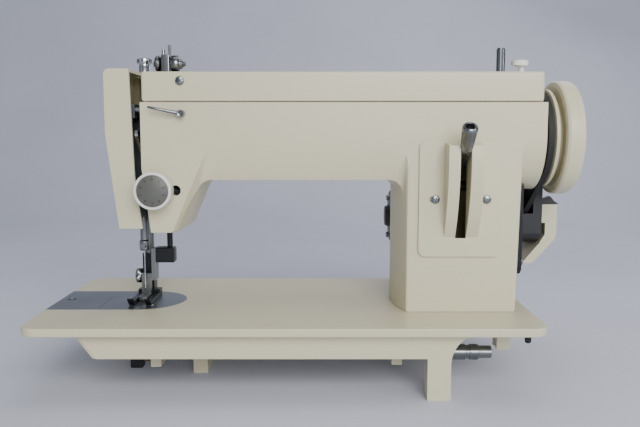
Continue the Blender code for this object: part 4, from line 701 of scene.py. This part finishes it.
DIAL_RIM = 0.0019
DIAL_WALL = 0.0040
FACE_SINK = 0.0012
FACE_THICKNESS = 0.0006
BORE_RADIUS = 0.0029
dial_place, radius, depth = round_node("tension_dial", (0, -1, 0))
face_radius = radius - DIAL_RIM
profile = [
    (0, depth - FACE_SINK), (face_radius, depth - FACE_SINK), (face_radius + 0.0001, depth - 0.0002),
    (face_radius + 0.0004, depth), (radius - 0.0008, depth), (radius - 0.0001, depth - 0.0006),
    (radius, depth - 0.0014), (radius, 0.0016), (radius - 0.0010, 0.0002), (radius - 0.0014, 0),
    (BORE_RADIUS, 0), (BORE_RADIUS, depth - DIAL_WALL), (0, depth - DIAL_WALL),
]
drum = turn_profile(profile, 144, knurled=(6, 7), depth=0.00012)
drum.transform(aim((0, -1, 0), dial_place))
add_piece("dial_drum", drum, white_plastic, "dial", "tension_dial", 45)

face_height = depth - FACE_SINK + 0.0004
profile = [
    (0, face_height), (face_radius - 0.0004, face_height), (face_radius - 0.0002, face_height - 0.0001),
    (face_radius - 0.0002, face_height - FACE_THICKNESS), (0, face_height - FACE_THICKNESS),
]
face = turn_profile(profile, 72)
face.transform(aim((0, -1, 0), dial_place))
add_piece("dial_face", face, dial_grey, "dial")

FIGURES = 10
FIGURE_SIZE = 0.0027
FIGURE_STROKE = 0.00006
TICK_HALF_WIDTH = 0.00012
PRINT_HEIGHT = 0.00006
print_work = bmesh.new()
for number in range(FIGURES):
    spoke = Matrix.Rotation(-math.tau * number / FIGURES, 4, "Z")
    tick = make_block(
        (-TICK_HALF_WIDTH, face_radius - 0.0016, face_height),
        (TICK_HALF_WIDTH, face_radius - 0.0007, face_height + PRINT_HEIGHT))
    tick.transform(spoke)
    print_work.from_mesh(tick)
    figure = bpy.data.curves.new("figure", "FONT")
    figure.body = str(number)
    figure.size = FIGURE_SIZE
    figure.offset = FIGURE_STROKE
    figure.extrude = PRINT_HEIGHT / 2
    figure.align_x = "CENTER"
    holder = bpy.data.objects.new("figure", figure)
    bpy.context.scene.collection.objects.link(holder)
    shapes = bpy.context.evaluated_depsgraph_get()
    letter = bpy.data.meshes.new_from_object(holder.evaluated_get(shapes))
    bpy.data.objects.remove(holder)
    letter.transform(spoke @ Matrix.Translation((0, face_radius - 0.0040, face_height + PRINT_HEIGHT / 2)))
    print_work.from_mesh(letter)
dial_print = bpy.data.meshes.new("dial_print")
print_work.to_mesh(dial_print)
print_work.free()
dial_print.transform(aim((0, -1, 0), dial_place))
add_piece("dial_figures", dial_print, print_black, "dial")

# The belt, moulded rubber that drives the hand wheel from the motor's pulley, and the small rubber
# plug that stops the oil hole under the bed.

belt_rubber = make_material(
    "belt_rubber", (36, 36, 36), (28, 28, 28), (60, 60, 60), rub_share=0.4, roughness=0.72,
    spread=0.12, metallic=0.0, patch_scale=60.0, grain_scale=1700.0, grain_height=0.00004)
dress("drive_belt", belt_rubber, edge=0.0004)
PLUG_DROP = 0.0063
PLUG_INSET = 0.0108
PLUG_Y = -0.070
bed_high = corners("bed_casting")[1]
profile = [
    (0, 0.0092), (0.0016, 0.0092), (0.0022, 0.0086), (0.0024, 0.0070), (0.0024, 0.0012), (0.0030, 0.0008),
    (0.0030, 0), (0, 0),
]
plug = turn_profile(profile, 28)
plug.transform(aim((0, 0, -1), (bed_high.x - PLUG_INSET, PLUG_Y, bed_high.z - PLUG_DROP)))
add_piece("bed_plug", plug, belt_rubber, "frame")
